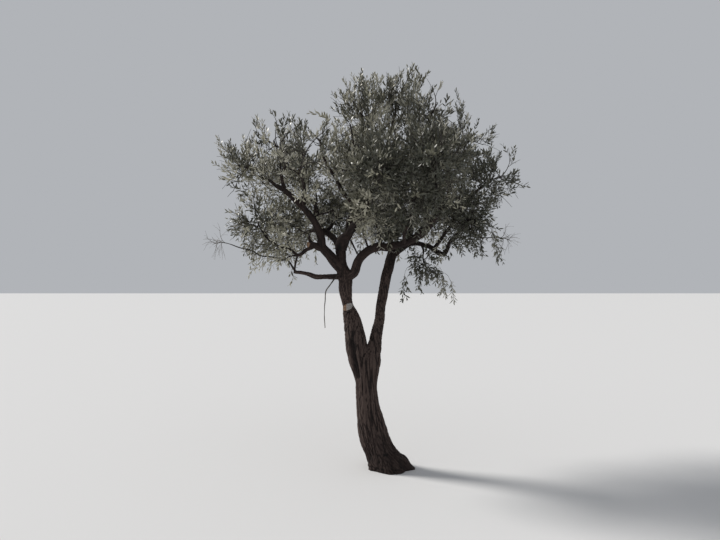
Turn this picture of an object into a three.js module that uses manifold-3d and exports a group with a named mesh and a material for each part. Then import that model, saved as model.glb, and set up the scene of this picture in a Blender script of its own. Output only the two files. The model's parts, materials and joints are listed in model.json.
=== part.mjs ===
// An old olive tree standing free, with a trunk that forks low, boughs that spread like a vase
// and a broad crown of many masses of foliage, as a scene graph of closed solids.
//
// Millimetres, +Z up. The origin is at the foot of the trunk, in its flat cut at ground level.
// +X is the tree's right as seen from the front, and +Y points away from the front.
//
// The trunk is a flared column. Every other limb leaves a point along its parent and runs in one
// bowed line to a goal. Where it carries foliage, the goal is the middle of a ball of space that
// the foliage keeps to: the limb ends a little way inside the ball, and a stem goes on from there
// 0.3 mm clear of it, branching into main twigs, side twigs and sprays of leaves.
import * as THREE from "three";
import { mergeVertices } from "three/addons/utils/BufferGeometryUtils.js";
import Module from "manifold-3d";

const wasm = await Module();
wasm.setup();

// Clearance between neighbouring solids, and between two spaces of foliage
const CLEARANCE = 0.4;
const SPACE_CLEARANCE = 3;

// The trunk, from the flat cut at ground level to the flat seat under its fork
const TRUNK_HEIGHT = 1572;
const TRUNK_RADIUS = 138;
const TRUNK_LEAN = 314;
const TRUNK_LEAN_HEIGHT = 400;
const TRUNK_SIDES = 20;
const TRUNK_STEPS = 11;
const FLARE = 105;
const FLARE_HEIGHT = 360;
const FORK_WIDENING = 72;
const FORK_START_HEIGHT = 1010;
// Buttress roots: the side that each faces, how far it stands out at the ground, and its breadth
const ROOTS = [
  { heading: -12, reach: 95, breadth: 30 },
  { heading: -75, reach: 85, breadth: 24 },
  { heading: -150, reach: 70, breadth: 26 },
  { heading: 140, reach: 95, breadth: 28 },
  { heading: 62, reach: 90, breadth: 27 },
];
const ROOT_HEIGHT = 210;

// Limbs that carry other limbs: the parent and how far along it they leave, or the place on the
// trunk's flat top, then where they run to, how far the middle of the run is bowed off the
// straight line, and the radius at each end
const LIMBS = [
  { name: "left_stem", start: [-410, 0, 1560], goal: [-610, 0, 2913], bow: [-40, 0, 0], thick: 135, thin: 80 },
  { name: "right_stem", start: [-178, 0, 1560], goal: [64, 250, 2875], bow: [10, -10, 0], thick: 82, thin: 62 },
  { name: "left_bough", from: "left_stem", at: 0.81, goal: [-1380, -300, 3644], bow: [15, -60, 50], thick: 62, thin: 38 },
  { name: "low_left_limb", from: "left_stem", at: 0.7, goal: [-1230, -100, 2565], bow: [0, -20, -25], thick: 40, thin: 24 },
  { name: "cut_stub", from: "left_bough", at: 0.24, goal: [-1039, -220, 2916], bow: [0, 0, 0], thick: 42, thin: 36 },
  { name: "arch_foot", from: "left_stem", at: 0.73, goal: [-187, -150, 2870], bow: [20, -20, 0], thick: 60, thin: 53 },
  { name: "arch_bough", from: "arch_foot", at: 0.96, goal: [582, -350, 3245], bow: [0, 0, -110], thick: 52, thin: 41 },
  { name: "right_bough", from: "right_stem", at: 0.96, goal: [686, 400, 3378], bow: [0, 0, -60], thick: 58, thin: 42 },
  { name: "elbow_limb", from: "right_bough", at: 0.35, goal: [778, 100, 2799], bow: [15, 0, 30], thick: 40, thin: 31 },
];

// Boughs that each end in a mass of foliage. The goal is the middle of that mass's space, and
// space is its radius. A bare one is dead wood: twigs with no leaves.
const BOUGHS = [
  { name: "top_left", from: "left_stem", at: 0.965, goal: [-316, 0, 4699], bow: [110, -110, 0], thick: 52, thin: 20, space: 540 },
  { name: "left_back", from: "left_stem", at: 0.9, goal: [-1362, 1150, 4141], bow: [0, 80, -80], thick: 50, thin: 20, space: 600 },
  { name: "back_centre", from: "left_stem", at: 0.93, goal: [-338, 1500, 4327], bow: [60, 60, -120], thick: 50, thin: 21, space: 660 },
  { name: "far_left", from: "left_bough", at: 0.96, goal: [-1855, 0, 3971], bow: [0, -50, 30], thick: 32, thin: 18, space: 505 },
  { name: "left_top", from: "left_bough", at: 0.9, goal: [-1497, 100, 4279], bow: [105, -100, 25], thick: 33, thin: 18, space: 520 },
  { name: "left_low", from: "cut_stub", at: 0.8, goal: [-1698, -100, 3170], bow: [0, -60, -190], thick: 28, thin: 17, space: 460 },
  { name: "left_front", from: "left_bough", at: 0.55, goal: [-1041, -750, 3942], bow: [-60, -50, 0], thick: 30, thin: 17, space: 440 },
  { name: "left_middle", from: "left_bough", at: 0.4, goal: [-1348, 450, 3228], bow: [0, 50, -40], thick: 30, thin: 17, space: 440 },
  { name: "inner_top", from: "top_left", at: 0.35, goal: [-920, 200, 4360], bow: [-60, 0, 0], thick: 30, thin: 17, space: 420 },
  { name: "top", from: "top_left", at: 0.2, goal: [133, 300, 4878], bow: [110, 40, -60], thick: 40, thin: 20, space: 570 },
  { name: "centre_front", from: "top_left", at: 0.13, goal: [-113, -900, 3719], bow: [0, -60, -80], thick: 38, thin: 18, space: 520 },
  { name: "right_front", from: "arch_bough", at: 0.96, goal: [459, -1000, 3779], bow: [40, -40, -60], thick: 42, thin: 18, space: 540 },
  { name: "front_low", from: "arch_bough", at: 0.5, goal: [252, -750, 3413], bow: [0, -30, -30], thick: 28, thin: 17, space: 370 },
  { name: "centre_low", from: "top_left", at: 0.27, goal: [-43, 150, 3265], bow: [10, 20, 35], thick: 30, thin: 17, space: 400 },
  { name: "top_right", from: "right_bough", at: 0.78, goal: [509, -450, 4506], bow: [60, 0, -40], thick: 38, thin: 18, space: 485 },
  { name: "right_top", from: "right_bough", at: 0.96, goal: [1182, 750, 4504], bow: [60, 0, -40], thick: 34, thin: 18, space: 520 },
  { name: "right_outer", from: "right_bough", at: 0.88, goal: [1365, 0, 3797], bow: [0, 0, -60], thick: 32, thin: 17, space: 485 },
  { name: "core", from: "right_stem", at: 0.97, goal: [40, 350, 3860], bow: [30, 30, 0], thick: 44, thin: 19, space: 540 },
  { name: "back_right", from: "right_bough", at: 0.25, goal: [716, 1400, 4305], bow: [0, 60, -150], thick: 48, thin: 21, space: 660 },
  { name: "back_low_right", from: "right_bough", at: 0.55, goal: [913, 900, 3465], bow: [0, 20, -40], thick: 28, thin: 16, space: 460 },
  { name: "back_low_left", from: "left_back", at: 0.4, goal: [-702, 950, 3447], bow: [0, 0, -30], thick: 28, thin: 16, space: 460 },
  { name: "right_low", from: "elbow_limb", at: 0.95, goal: [1051, -100, 3249], bow: [-10, 0, 5], thick: 30, thin: 17, space: 440 },
  { name: "hanging", from: "elbow_limb", at: 0.35, goal: [508, 100, 2657], bow: [0, 0, 20], thick: 18, thin: 11, space: 270 },
  { name: "dry_right", from: "right_low", at: 0.7, goal: [1536, 0, 3020], bow: [0, 0, 40], thick: 12, thin: 8, space: 240, bare: true },
  { name: "dry_left", from: "low_left_limb", at: 0.96, goal: [-2130, -300, 2940], bow: [0, -40, 60], thick: 15, thin: 9, space: 260, bare: true },
];
const LIMB_STEP = 235;
const BOUGH_ENTRY = 0.6;
const CROWN_MIDDLE = new THREE.Vector3(-280, 150, 3830);

// Foliage: shares are of the radius of a mass's space
const STEM_LEAD = 0.42;
const MAIN_TWIGS = 6;
const BARE_TWIGS = 4;
const BARE_SHARE = 0.7;
const MAIN_SHARE = 0.48;
const MAIN_RADII = [5, 7, 4.5];
const SIDE_TWIGS = 2;
const SIDE_SHARE = 0.3;
const SIDE_ANGLE = 52;
const SIDE_RADII = [2.2, 3.5];
const STEM_SIDES = 4;
const TWIG_LIFT = 0.08;
const LIMB_MARGIN = 6;
const GOLDEN_ANGLE = Math.PI * (3 - Math.sqrt(5));
// Sprays of leaves, each a flat blade that goes on from the tip of its twig
const SPRAY_LONGEST = 400;
const SPRAY_SHORTEST = 120;
const SPRAY_TURNS = 3;
const SPRAY_WIDTH = 0.47;
const SPRAY_THICKNESS = 0.02;
const SPRAY_WIDEST = 0.42;

const BARK = new THREE.MeshStandardMaterial({ color: 0x5a5048, roughness: 0.95, metalness: 0 });
const DEAD_WOOD = new THREE.MeshStandardMaterial({ color: 0x8d857a, roughness: 0.9, metalness: 0 });
const FOLIAGE = new THREE.MeshStandardMaterial({ color: 0x6f745c, roughness: 0.7, metalness: 0 });

// A seeded row of numbers from 0 to 1, the same on every run.
function seeded(seed) {
  let state = seed >>> 0;
  return () => {
    state = (Math.imul(state, 1664525) + 1013904223) >>> 0;
    return state / 4294967296;
  };
}

function vector([x, y, z]) {
  return new THREE.Vector3(x, y, z);
}

// A closed solid from a closed geometry, and the geometry of a solid.
function solidOf(geometry) {
  geometry.deleteAttribute("normal");
  geometry.deleteAttribute("uv");
  const merged = mergeVertices(geometry, 1e-3);
  return new wasm.Manifold(
    new wasm.Mesh({
      numProp: 3,
      vertProperties: new Float32Array(merged.attributes.position.array),
      triVerts: new Uint32Array(merged.index.array),
    }),
  );
}

function geometryOf(solid) {
  const mesh = solid.getMesh();
  const geometry = new THREE.BufferGeometry();
  geometry.setAttribute("position", new THREE.BufferAttribute(mesh.vertProperties, 3));
  geometry.setIndex(new THREE.BufferAttribute(mesh.triVerts, 1));
  geometry.computeVertexNormals();
  return geometry;
}

// The largest closed body of a solid: loose scraps and sealed hollows are dropped.
function mainBody(solid) {
  return solid.decompose().reduce((best, body) => (body.volume() > best.volume() ? body : best));
}

// Directions across a line of points, carried along it without twist.
function carriedFrames(points, firstAcross) {
  const frames = [];
  let across = firstAcross;
  points.forEach((point, i) => {
    const along = points[Math.min(i + 1, points.length - 1)].clone().sub(points[Math.max(i - 1, 0)]).normalize();
    if (!across) across = Math.abs(along.z) < 0.9 ? new THREE.Vector3(0, 0, 1) : new THREE.Vector3(1, 0, 0);
    across = across.clone().addScaledVector(along, -across.dot(along)).normalize();
    frames.push({ along, across, over: across.clone().cross(along) });
  });
  return frames;
}

// A round bar of changing radius along a line of points.
function bar(points, radii, sides) {
  const steps = points.length - 1;
  const geometry = new THREE.CylinderGeometry(1, 1, 1, sides, steps);
  const frames = carriedFrames(points);
  const place = geometry.attributes.position;
  for (let i = 0; i < place.count; i++) {
    const k = Math.round((place.getY(i) + 0.5) * steps);
    const spot = points[k]
      .clone()
      .addScaledVector(frames[k].across, place.getX(i) * radii[k])
      .addScaledVector(frames[k].over, place.getZ(i) * radii[k]);
    place.setXYZ(i, spot.x, spot.y, spot.z);
  }
  return solidOf(geometry);
}

// The same bar, thicker and longer all round by the clearance.
function grownBar(points, radii, sides) {
  const last = points.length - 1;
  const longer = points.map((point) => point.clone());
  const start = points[0].clone().sub(points[1]).setLength(CLEARANCE);
  const end = points[last].clone().sub(points[last - 1]).setLength(CLEARANCE);
  longer[0].add(start);
  longer[last].add(end);
  return bar(longer, radii.map((radius) => radius + CLEARANCE), sides);
}

function trunkAxis(height) {
  return new THREE.Vector3(-TRUNK_LEAN * (1 - Math.exp(-height / TRUNK_LEAN_HEIGHT)), 0, height);
}

function trunkSolid(extra) {
  const geometry = new THREE.CylinderGeometry(1, 1, 1, TRUNK_SIDES, TRUNK_STEPS);
  const place = geometry.attributes.position;
  for (let i = 0; i < place.count; i++) {
    const share = place.getY(i) + 0.5;
    const height = TRUNK_HEIGHT * share ** 1.4;
    const side = Math.atan2(place.getZ(i), place.getX(i));
    const rim = Math.hypot(place.getX(i), place.getZ(i));
    let radius = TRUNK_RADIUS + FLARE * Math.exp(-height / FLARE_HEIGHT) + extra;
    for (const root of ROOTS) {
      const turn = THREE.MathUtils.degToRad(root.heading) - side;
      const off = THREE.MathUtils.radToDeg(Math.atan2(Math.sin(turn), Math.cos(turn))) / root.breadth;
      radius += root.reach * Math.exp(-off * off) * Math.exp(-height / ROOT_HEIGHT);
    }
    const fork = THREE.MathUtils.smoothstep(height, FORK_START_HEIGHT, TRUNK_HEIGHT);
    const axis = trunkAxis(height);
    const x = axis.x + rim * Math.cos(side) * (radius + FORK_WIDENING * fork);
    const y = axis.y + rim * Math.sin(side) * (radius + 0.12 * FORK_WIDENING * fork);
    const lift = share === 1 ? extra : share === 0 ? -extra : 0;
    // The cylinder's own Y becomes up, which turns its Z to -Y.
    place.setXYZ(i, x, -y, height + lift);
  }
  return solidOf(geometry);
}

// Points of a limb's bowed line, evenly spaced in its parameter.
function bowedLine(start, goal, bow, steps) {
  const run = goal.clone().sub(start);
  const first = start.clone().addScaledVector(run, 1 / 3).addScaledVector(bow, 4 / 3);
  const second = start.clone().addScaledVector(run, 2 / 3).addScaledVector(bow, 4 / 3);
  return new THREE.CubicBezierCurve3(start, first, second, goal).getPoints(steps);
}

// A point at a share of a line of points, by its parameter.
function pointAlong(points, share) {
  const spot = share * (points.length - 1);
  const k = Math.min(Math.floor(spot), points.length - 2);
  return points[k].clone().lerp(points[k + 1], spot - k);
}

function directionAlong(points, share) {
  const k = Math.min(Math.floor(share * (points.length - 1)), points.length - 2);
  return points[k + 1].clone().sub(points[k]).normalize();
}

function limbSides(radius) {
  return radius > 70 ? 10 : radius > 55 ? 8 : radius > 40 ? 7 : 6;
}

const trunk = trunkSolid(0);
const lines = {};
const limbs = [{ name: "trunk", solid: trunk, grown: trunkSolid(CLEARANCE), points: [], radii: [] }];
const stems = {};

// A limb is cut clear of every limb made before it, so it sits on its parent's skin.
function addLimb(row) {
  const start = row.start ? vector(row.start) : pointAlong(lines[row.from], row.at);
  const goal = vector(row.goal);
  const fine = bowedLine(start, goal, vector(row.bow), 60);
  let last = fine.length - 1;
  if (row.space) {
    while (fine[last].distanceTo(goal) < BOUGH_ENTRY * row.space) last--;
  }
  const length = (goal.distanceTo(start) * last) / 60;
  const steps = Math.max(3, Math.round(length / LIMB_STEP));
  const points = [];
  const radii = [];
  for (let i = 0; i <= steps; i++) {
    points.push(pointAlong(fine, ((i / steps) * last) / 60));
    radii.push(row.thick + (row.thin - row.thick) * (i / steps));
  }
  const sides = limbSides(row.thick);
  let solid = bar(points, radii, sides);
  for (const earlier of limbs) solid = solid.subtract(earlier.grown);
  lines[row.name] = points;
  limbs.push({ name: row.name, solid: mainBody(solid), grown: grownBar(points, radii, sides), points, radii });
  if (row.space) stems[row.name] = { fine: fine.slice(last), tip: points[steps], goal };
}

LIMBS.forEach(addLimb);
BOUGHS.forEach(addLimb);
const allLimbs = wasm.Manifold.union(limbs.map((limb) => limb.grown));

// Walls between a mass's space and the others: each is a plane, where the two balls weigh alike.
const spaces = BOUGHS.map((row) => ({ name: row.name, middle: vector(row.goal), radius: row.space }));

function wallsOf(space) {
  return spaces
    .filter((other) => other !== space && other.middle.distanceTo(space.middle) < other.radius + space.radius)
    .map((other) => {
      const away = other.middle.clone().sub(space.middle);
      const apart = away.length();
      const offset = (apart * apart + space.radius ** 2 - other.radius ** 2) / (2 * apart);
      return { away: away.normalize(), offset: offset - SPACE_CLEARANCE };
    });
}

function inSpace(space, point) {
  const off = point.clone().sub(space.middle);
  return off.length() < space.radius && space.walls.every((wall) => off.dot(wall.away) < wall.offset);
}

// How far a point can go in a direction before it leaves the space.
function reachIn(space, point, direction) {
  const off = point.clone().sub(space.middle);
  const b = off.dot(direction);
  let reach = -b + Math.sqrt(Math.max(0, b * b - off.lengthSq() + space.radius ** 2));
  for (const wall of space.walls) {
    const speed = direction.dot(wall.away);
    if (speed > 1e-6) reach = Math.min(reach, (wall.offset - off.dot(wall.away)) / speed);
  }
  return Math.max(0, reach);
}

// Whether a point is nearer to any limb's skin than the margin.
function nearLimb(point, margin) {
  return limbs.some((limb) =>
    limb.radii.some((radius, i) => {
      if (i === 0) return false;
      const start = limb.points[i - 1];
      const run = limb.points[i].clone().sub(start);
      const share = THREE.MathUtils.clamp(point.clone().sub(start).dot(run) / run.lengthSq(), 0, 1);
      const skin = limb.radii[i - 1] + (radius - limb.radii[i - 1]) * share;
      return run.multiplyScalar(share).add(start).distanceTo(point) < skin + margin;
    }),
  );
}

function anyNormal(direction) {
  const helper = Math.abs(direction.z) < 0.9 ? new THREE.Vector3(0, 0, 1) : new THREE.Vector3(1, 0, 0);
  return helper.cross(direction).normalize();
}

// A direction at an angle off another one, turned round it.
function turnedOff(direction, angle, turn) {
  const side = anyNormal(direction).applyAxisAngle(direction, turn);
  return direction.clone().multiplyScalar(Math.cos(angle)).addScaledVector(side, Math.sin(angle));
}

// A twig: it leaves along its parent, bends to its goal and lifts a little on the way.
function twigLine(start, leaving, goal, steps) {
  const span = goal.distanceTo(start);
  const bend = start.clone().addScaledVector(leaving, 0.4 * span);
  bend.z += TWIG_LIFT * span;
  return new THREE.QuadraticBezierCurve3(start, bend, goal).getPoints(steps);
}

function isClear(space, points) {
  return points.slice(1).every((point) => inSpace(space, point) && !nearLimb(point, LIMB_MARGIN));
}

// The branching rule: a stem through the space, main twigs to places spread evenly round it, and
// side twigs off each main twig.
function growTwigs(space, seed, isBare) {
  const random = seeded(seed);
  const { fine, goal } = stems[space.name];
  const entry = fine[0];
  const heading = goal.clone().sub(entry).normalize();
  const outward = goal.clone().sub(CROWN_MIDDLE).normalize();
  const lead = heading.clone().multiplyScalar(0.5).add(outward).normalize();
  const leadLength = Math.min(STEM_LEAD * space.radius, 0.6 * reachIn(space, goal, lead));
  const stem = [entry, pointAlong(fine, 0.5), goal, goal.clone().addScaledVector(lead, leadLength)];
  const mains = [];
  const sides = [];
  const phase = random() * 2 * Math.PI;
  const count = isBare ? BARE_TWIGS : MAIN_TWIGS;
  const branches = isBare ? 1 : SIDE_TWIGS;
  for (let i = 0; i < count; i++) {
    const forward = 0.8 - (1.35 * i) / (count - 1);
    const aim = turnedOff(lead, Math.acos(forward), phase + i * GOLDEN_ANGLE);
    const share = (isBare ? BARE_SHARE : MAIN_SHARE) * (0.85 + 0.3 * random());
    const startShare = 0.2 + 0.6 * ((forward + 0.55) / 1.35);
    const start = pointAlong(stem, startShare);
    const end = goal.clone().addScaledVector(aim, share * reachIn(space, goal, aim));
    const main = twigLine(start, directionAlong(stem, startShare), end, 2);
    const turn = random() * 2 * Math.PI;
    if (!isClear(space, main)) continue;
    mains.push(main);
    for (let j = 0; j < branches; j++) {
      const sideShare = 0.45 + (0.5 * j) / branches + 0.1 * random();
      const foot = pointAlong(main, sideShare);
      const angle = THREE.MathUtils.degToRad(SIDE_ANGLE * (0.85 + 0.3 * random()));
      const direction = turnedOff(directionAlong(main, sideShare), angle, turn + j * 2.6);
      direction.z += 0.2;
      direction.normalize();
      const length = SIDE_SHARE * space.radius * (0.75 + 0.4 * random());
      const tip = foot.clone().addScaledVector(direction, Math.min(length, 0.45 * reachIn(space, foot, direction)));
      if (foot.distanceTo(tip) > 40 && isClear(space, [foot, tip])) sides.push([foot, tip]);
    }
  }
  return { stem, mains, sides };
}

// A twig that widens at its tip into a blade, and narrows to the blade's own tip. The radii are
// the twig's, at each of its points: its foot is sunk inside its parent.
function shoot(points, radii, sides, flat, length) {
  const end = points[points.length - 1];
  const along = directionAlong(points, 1);
  const blade = [SPRAY_WIDEST, 1].map((share) => end.clone().addScaledVector(along, share * length));
  const spots = [...points, ...blade];
  const steps = spots.length - 1;
  const frames = carriedFrames(spots, flat);
  const geometry = new THREE.CylinderGeometry(0, 1, 1, sides, steps);
  const place = geometry.attributes.position;
  for (let i = 0; i < place.count; i++) {
    const k = Math.round((place.getY(i) + 0.5) * steps);
    const rim = Math.hypot(place.getX(i), place.getZ(i));
    const unit = rim < 0.5 * (1 - k / steps) || k === steps ? 0 : 1 / rim;
    const wide = k < points.length ? radii[k] : (length * SPRAY_WIDTH) / Math.sqrt(3);
    const deep = k < points.length ? radii[k] : length * SPRAY_THICKNESS * (2 / 3);
    const spot = spots[k]
      .clone()
      .addScaledVector(frames[k].across, place.getX(i) * wide * unit)
      .addScaledVector(frames[k].over, place.getZ(i) * deep * unit);
    place.setXYZ(i, spot.x, spot.y, spot.z);
  }
  return solidOf(geometry);
}

function cornersOf(solid) {
  const { vertProperties } = solid.getMesh();
  const corners = [];
  for (let i = 0; i < vertProperties.length; i += 3) {
    corners.push(new THREE.Vector3().fromArray(vertProperties, i));
  }
  return corners;
}

// A shoot as long as its space lets it be, whose blade is clear of every limb and other shoot.
function shootIn(space, points, radii, sides, turn, others) {
  const leaving = directionAlong(points, 0);
  const end = points[points.length - 1];
  const neck = [end.clone().addScaledVector(directionAlong(points, 1), -1), end];
  const tip = radii[radii.length - 1];
  const reach = Math.min(SPRAY_LONGEST, reachIn(space, end, directionAlong(points, 1)));
  for (let length = reach; length > SPRAY_SHORTEST; length *= 0.88) {
    for (let k = 0; k < SPRAY_TURNS; k++) {
      const flat = anyNormal(leaving).applyAxisAngle(leaving, turn + (k * Math.PI) / SPRAY_TURNS);
      const solid = shoot(points, radii, sides, flat, length);
      if (!cornersOf(solid).every((corner) => inSpace(space, corner))) continue;
      if (!solid.intersect(allLimbs).isEmpty()) continue;
      const blade = shoot(neck, [tip, tip], sides, flat, length);
      if (others.every((other) => other.intersect(blade).isEmpty())) return solid;
    }
  }
  return null;
}

// The stem, its main twigs and their side twigs as one body.
function massSolid(space, row, seed) {
  const { stem, mains, sides } = growTwigs(space, seed, row.bare);
  const random = seeded(seed + 500);
  const foot = row.thin * 0.9;
  const stemRadii = [foot, foot * 0.85, foot * 0.65, foot * 0.45];
  const twigs = [...mains.map((line) => [line, MAIN_RADII]), ...sides.map((line) => [line, SIDE_RADII])];
  const pieces = [];
  if (!row.bare) pieces.push(shootIn(space, stem, stemRadii, STEM_SIDES, random() * Math.PI, pieces));
  if (!pieces[0]) pieces[0] = bar(stem, stemRadii, STEM_SIDES);
  for (const [line, radii] of twigs) {
    const turn = random() * Math.PI;
    const piece = row.bare ? bar(line, radii, 3) : shootIn(space, line, radii, 3, turn, pieces);
    if (piece) pieces.push(piece);
  }
  const own = limbs.find((limb) => limb.name === row.name);
  return mainBody(wasm.Manifold.union(pieces).subtract(own.grown));
}

const tree = new THREE.Group();

function addNode(name, solid, material) {
  const mesh = new THREE.Mesh(geometryOf(solid), material);
  mesh.name = name;
  tree.add(mesh);
}

limbs.forEach((limb) => {
  const carries = BOUGHS.some((row) => row.name === limb.name);
  addNode(carries ? `${limb.name}_bough` : limb.name, limb.solid, BARK);
});
spaces.forEach((space) => {
  space.walls = wallsOf(space);
});
spaces.forEach((space, i) => {
  const row = BOUGHS[i];
  const name = row.bare ? `${row.name}_twigs` : `${row.name}_foliage`;
  addNode(name, massSolid(space, row, 11 + 7 * i), row.bare ? DEAD_WOOD : FOLIAGE);
});

export default tree;
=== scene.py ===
"""An old olive tree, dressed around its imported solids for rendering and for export.

The trunk, the stems and the main limbs are one fused skin with the bark's relief. The boughs run
on from them into the crown, where each mass of foliage grows by the rule of the part's source: a
stem, main twigs spread evenly round it, side twigs, and then shoots with pairs of narrow leaves.
Each mass stands in the space of its solid, and reaches a little past it: in towards its
neighbours, in some tall sprigs, and in twigs that hang or have dried. Tables are in millimetres,
as in the source, where they don't say that they are in metres. Meshes and settings are in metres.
Z is up and the front faces -Y.
"""

import json
import math

import bpy
import numpy as np
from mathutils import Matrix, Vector, noise

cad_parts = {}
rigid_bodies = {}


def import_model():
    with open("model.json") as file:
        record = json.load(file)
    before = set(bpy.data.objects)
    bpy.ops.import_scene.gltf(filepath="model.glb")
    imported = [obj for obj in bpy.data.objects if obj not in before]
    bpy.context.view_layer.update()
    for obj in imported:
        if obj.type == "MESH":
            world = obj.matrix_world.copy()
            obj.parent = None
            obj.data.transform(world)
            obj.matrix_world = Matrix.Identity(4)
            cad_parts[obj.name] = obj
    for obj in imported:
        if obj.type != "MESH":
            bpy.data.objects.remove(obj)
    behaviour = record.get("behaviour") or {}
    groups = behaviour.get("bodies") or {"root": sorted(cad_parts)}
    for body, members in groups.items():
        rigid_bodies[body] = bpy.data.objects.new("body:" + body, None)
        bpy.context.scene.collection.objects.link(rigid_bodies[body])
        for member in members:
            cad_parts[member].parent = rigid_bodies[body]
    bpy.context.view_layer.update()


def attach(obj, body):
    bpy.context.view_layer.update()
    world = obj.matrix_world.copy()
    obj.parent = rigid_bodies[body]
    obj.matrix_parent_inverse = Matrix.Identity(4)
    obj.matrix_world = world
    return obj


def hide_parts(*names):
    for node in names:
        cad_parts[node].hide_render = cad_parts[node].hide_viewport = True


bl_info = {
    "name": "Olive Tree",
    "version": (1, 0, 0),
    "blender": (4, 5, 0),
    "location": "3D View > Sidebar > Olive Tree",
    "description": "Builds an old olive tree around its solids",
    "category": "Add Mesh",
}

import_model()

MM = 0.001
GOLDEN_ANGLE = math.pi * (3 - math.sqrt(5))
UP = np.array([0.0, 0.0, 1.0])

# The trunk, from the flat cut at ground level to the seat under its fork, towards which it widens: from
# front to back only by the share fork_depth
TRUNK = dict(
    height=1572, radius=138, lean=314, lean_height=400, flare=105, flare_height=360,
    widening=72, fork_start=1010, fork_depth=0.12, root_height=210,
)
# Buttress roots: the side each faces in degrees, its reach at the ground, its breadth in degrees
ROOTS = ((-12, 95, 30), (-75, 85, 24), (-150, 70, 26), (140, 95, 28), (62, 90, 27))

# Swellings of the trunk: the side each faces in degrees, its height and reach, its breadth in
# degrees and its half height. The first two are the right side's burl, and the last draws the left in.
SWELLINGS = ((-8, 470, 36, 55, 290), (-12, 135, 72, 34, 85), (180, 60, -42, 60, 180))

# Long hollows in the front of the old wood: the right and up of each one's foot and top, its half
# breadth and its depth. Its wall lies between two shares of the half breadth, and inside it the bark's
# colour is darkened as painted shade.
HOLLOWS = (((-395, 1200), (-480, 1660), 36, 24),)
HOLLOW_WALL = (0.3, 1.4)
HOLLOW_SHADE = 0.9

# Limbs that carry other limbs. The line of each is the source's: it starts at a point, or at a share
# of its parent, and reaches its goal with a bow, and its radius goes from thick to thin. Here it is
# then led off that line: crook is a row of (share of its run, millimetres to the right, millimetres
# up), and swell is a row of (share, thickness against the even taper). A stem's skin starts inside the
# trunk, at its root: a row of (right, back, up, radius).
LIMBS = (
    dict(name="left_stem", start=(-410, 0, 1560), goal=(-610, 0, 2913), bow=(-40, 0, 0),
         thick=135, thin=80, root=((-352, 0, 1250, 118), (-384, 0, 1410, 133)),
         crook=((0, 0, 0), (0.14, 25, 0), (0.24, 30, 0), (0.34, 10, 0), (0.5, 0, 0), (0.71, 10, 0),
                (0.79, -15, 0), (1, -15, 0)),
         swell=((0, 1.03), (0.15, 1.04), (0.24, 1.02), (0.34, 0.86), (0.42, 0.64), (0.47, 0.66),
                (0.54, 0.8), (0.63, 0.92), (0.72, 1.0), (0.79, 0.85), (0.85, 0.78), (0.92, 0.74),
                (1, 0.82))),
    dict(name="right_stem", start=(-178, 0, 1560), goal=(64, 250, 2875), bow=(10, -10, 0),
         thick=82, thin=62, root=((-228, 0, 1250, 84), (-204, 0, 1410, 88)),
         crook=((0, 0, 0), (0.1, -15, 0), (0.25, -5, 0), (0.45, -20, 0), (0.68, -20, 0), (0.81, 0, 0),
                (1, 25, 0)),
         swell=((0, 1.08), (0.15, 0.98), (0.3, 0.88), (0.6, 0.94), (0.85, 1.02), (1, 1.08))),
    dict(name="left_bough", parent="left_stem", at=0.81, goal=(-1380, -300, 3644), bow=(15, -60, 50),
         thick=62, thin=38,
         crook=((0, 0, -40), (0.09, -50, -35), (0.17, -70, -45), (0.27, -70, -50), (0.33, -35, -25),
                (0.4, -10, -10), (0.49, 10, 10), (0.6, 20, 15), (0.74, 15, 15), (1, 0, 0)),
         swell=((0, 1.05), (0.25, 1.04), (0.4, 0.95), (0.7, 0.88), (1, 0.84))),
    dict(name="low_left_limb", parent="left_stem", at=0.7, goal=(-1230, -100, 2565), bow=(0, -20, -25),
         thick=40, thin=24,
         crook=((0, 0, 0), (0.4, 0, -5), (0.58, 0, -12), (0.71, 0, 8), (0.82, 0, 12), (1, 0, 0)),
         swell=((0, 1.1), (0.3, 0.92), (0.55, 1.05), (0.8, 0.9), (1, 1))),
    dict(name="cut_stub", parent="left_bough", at=0.24, goal=(-1039, -220, 2916), bow=(0, 0, 0),
         thick=42, thin=36),
    dict(name="arch_foot", parent="left_stem", at=0.73, goal=(-187, -150, 2870), bow=(20, -20, 0),
         thick=60, thin=53,
         crook=((0, 10, -60), (0.21, 35, -50), (0.33, 15, -15), (0.49, -15, 15), (0.64, -25, 30),
                (0.83, -20, 25), (1, 0, 8))),
    dict(name="arch_bough", parent="arch_foot", at=0.96, goal=(582, -350, 3245), bow=(0, 0, -110),
         thick=52, thin=41,
         crook=((0, 0, 10), (0.15, -5, 25), (0.25, 0, 8), (0.34, -5, 10), (0.49, 5, -12), (0.64, 15, -25),
                (0.86, 20, -20), (1, 0, 5)),
         swell=((0, 0.98), (0.3, 1.0), (0.5, 0.92), (0.75, 1.0), (1, 0.8))),
    dict(name="right_bough", parent="right_stem", at=0.96, goal=(686, 400, 3378), bow=(0, 0, -60),
         thick=58, thin=42, crook=((0, 0, 0), (0.25, 15, 25), (0.5, -10, -20), (0.75, 15, 10), (1, 0, 0))),
    dict(name="elbow_limb", parent="right_bough", at=0.35, goal=(778, 100, 2799), bow=(15, 0, 30),
         thick=40, thin=31, crook=((0, 0, 0), (0.3, 5, 20), (0.6, 0, 15), (0.85, 5, -18), (1, 0, 0)),
         swell=((0, 1), (0.5, 0.85), (0.85, 1.05), (1, 0.95))),
)
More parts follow.
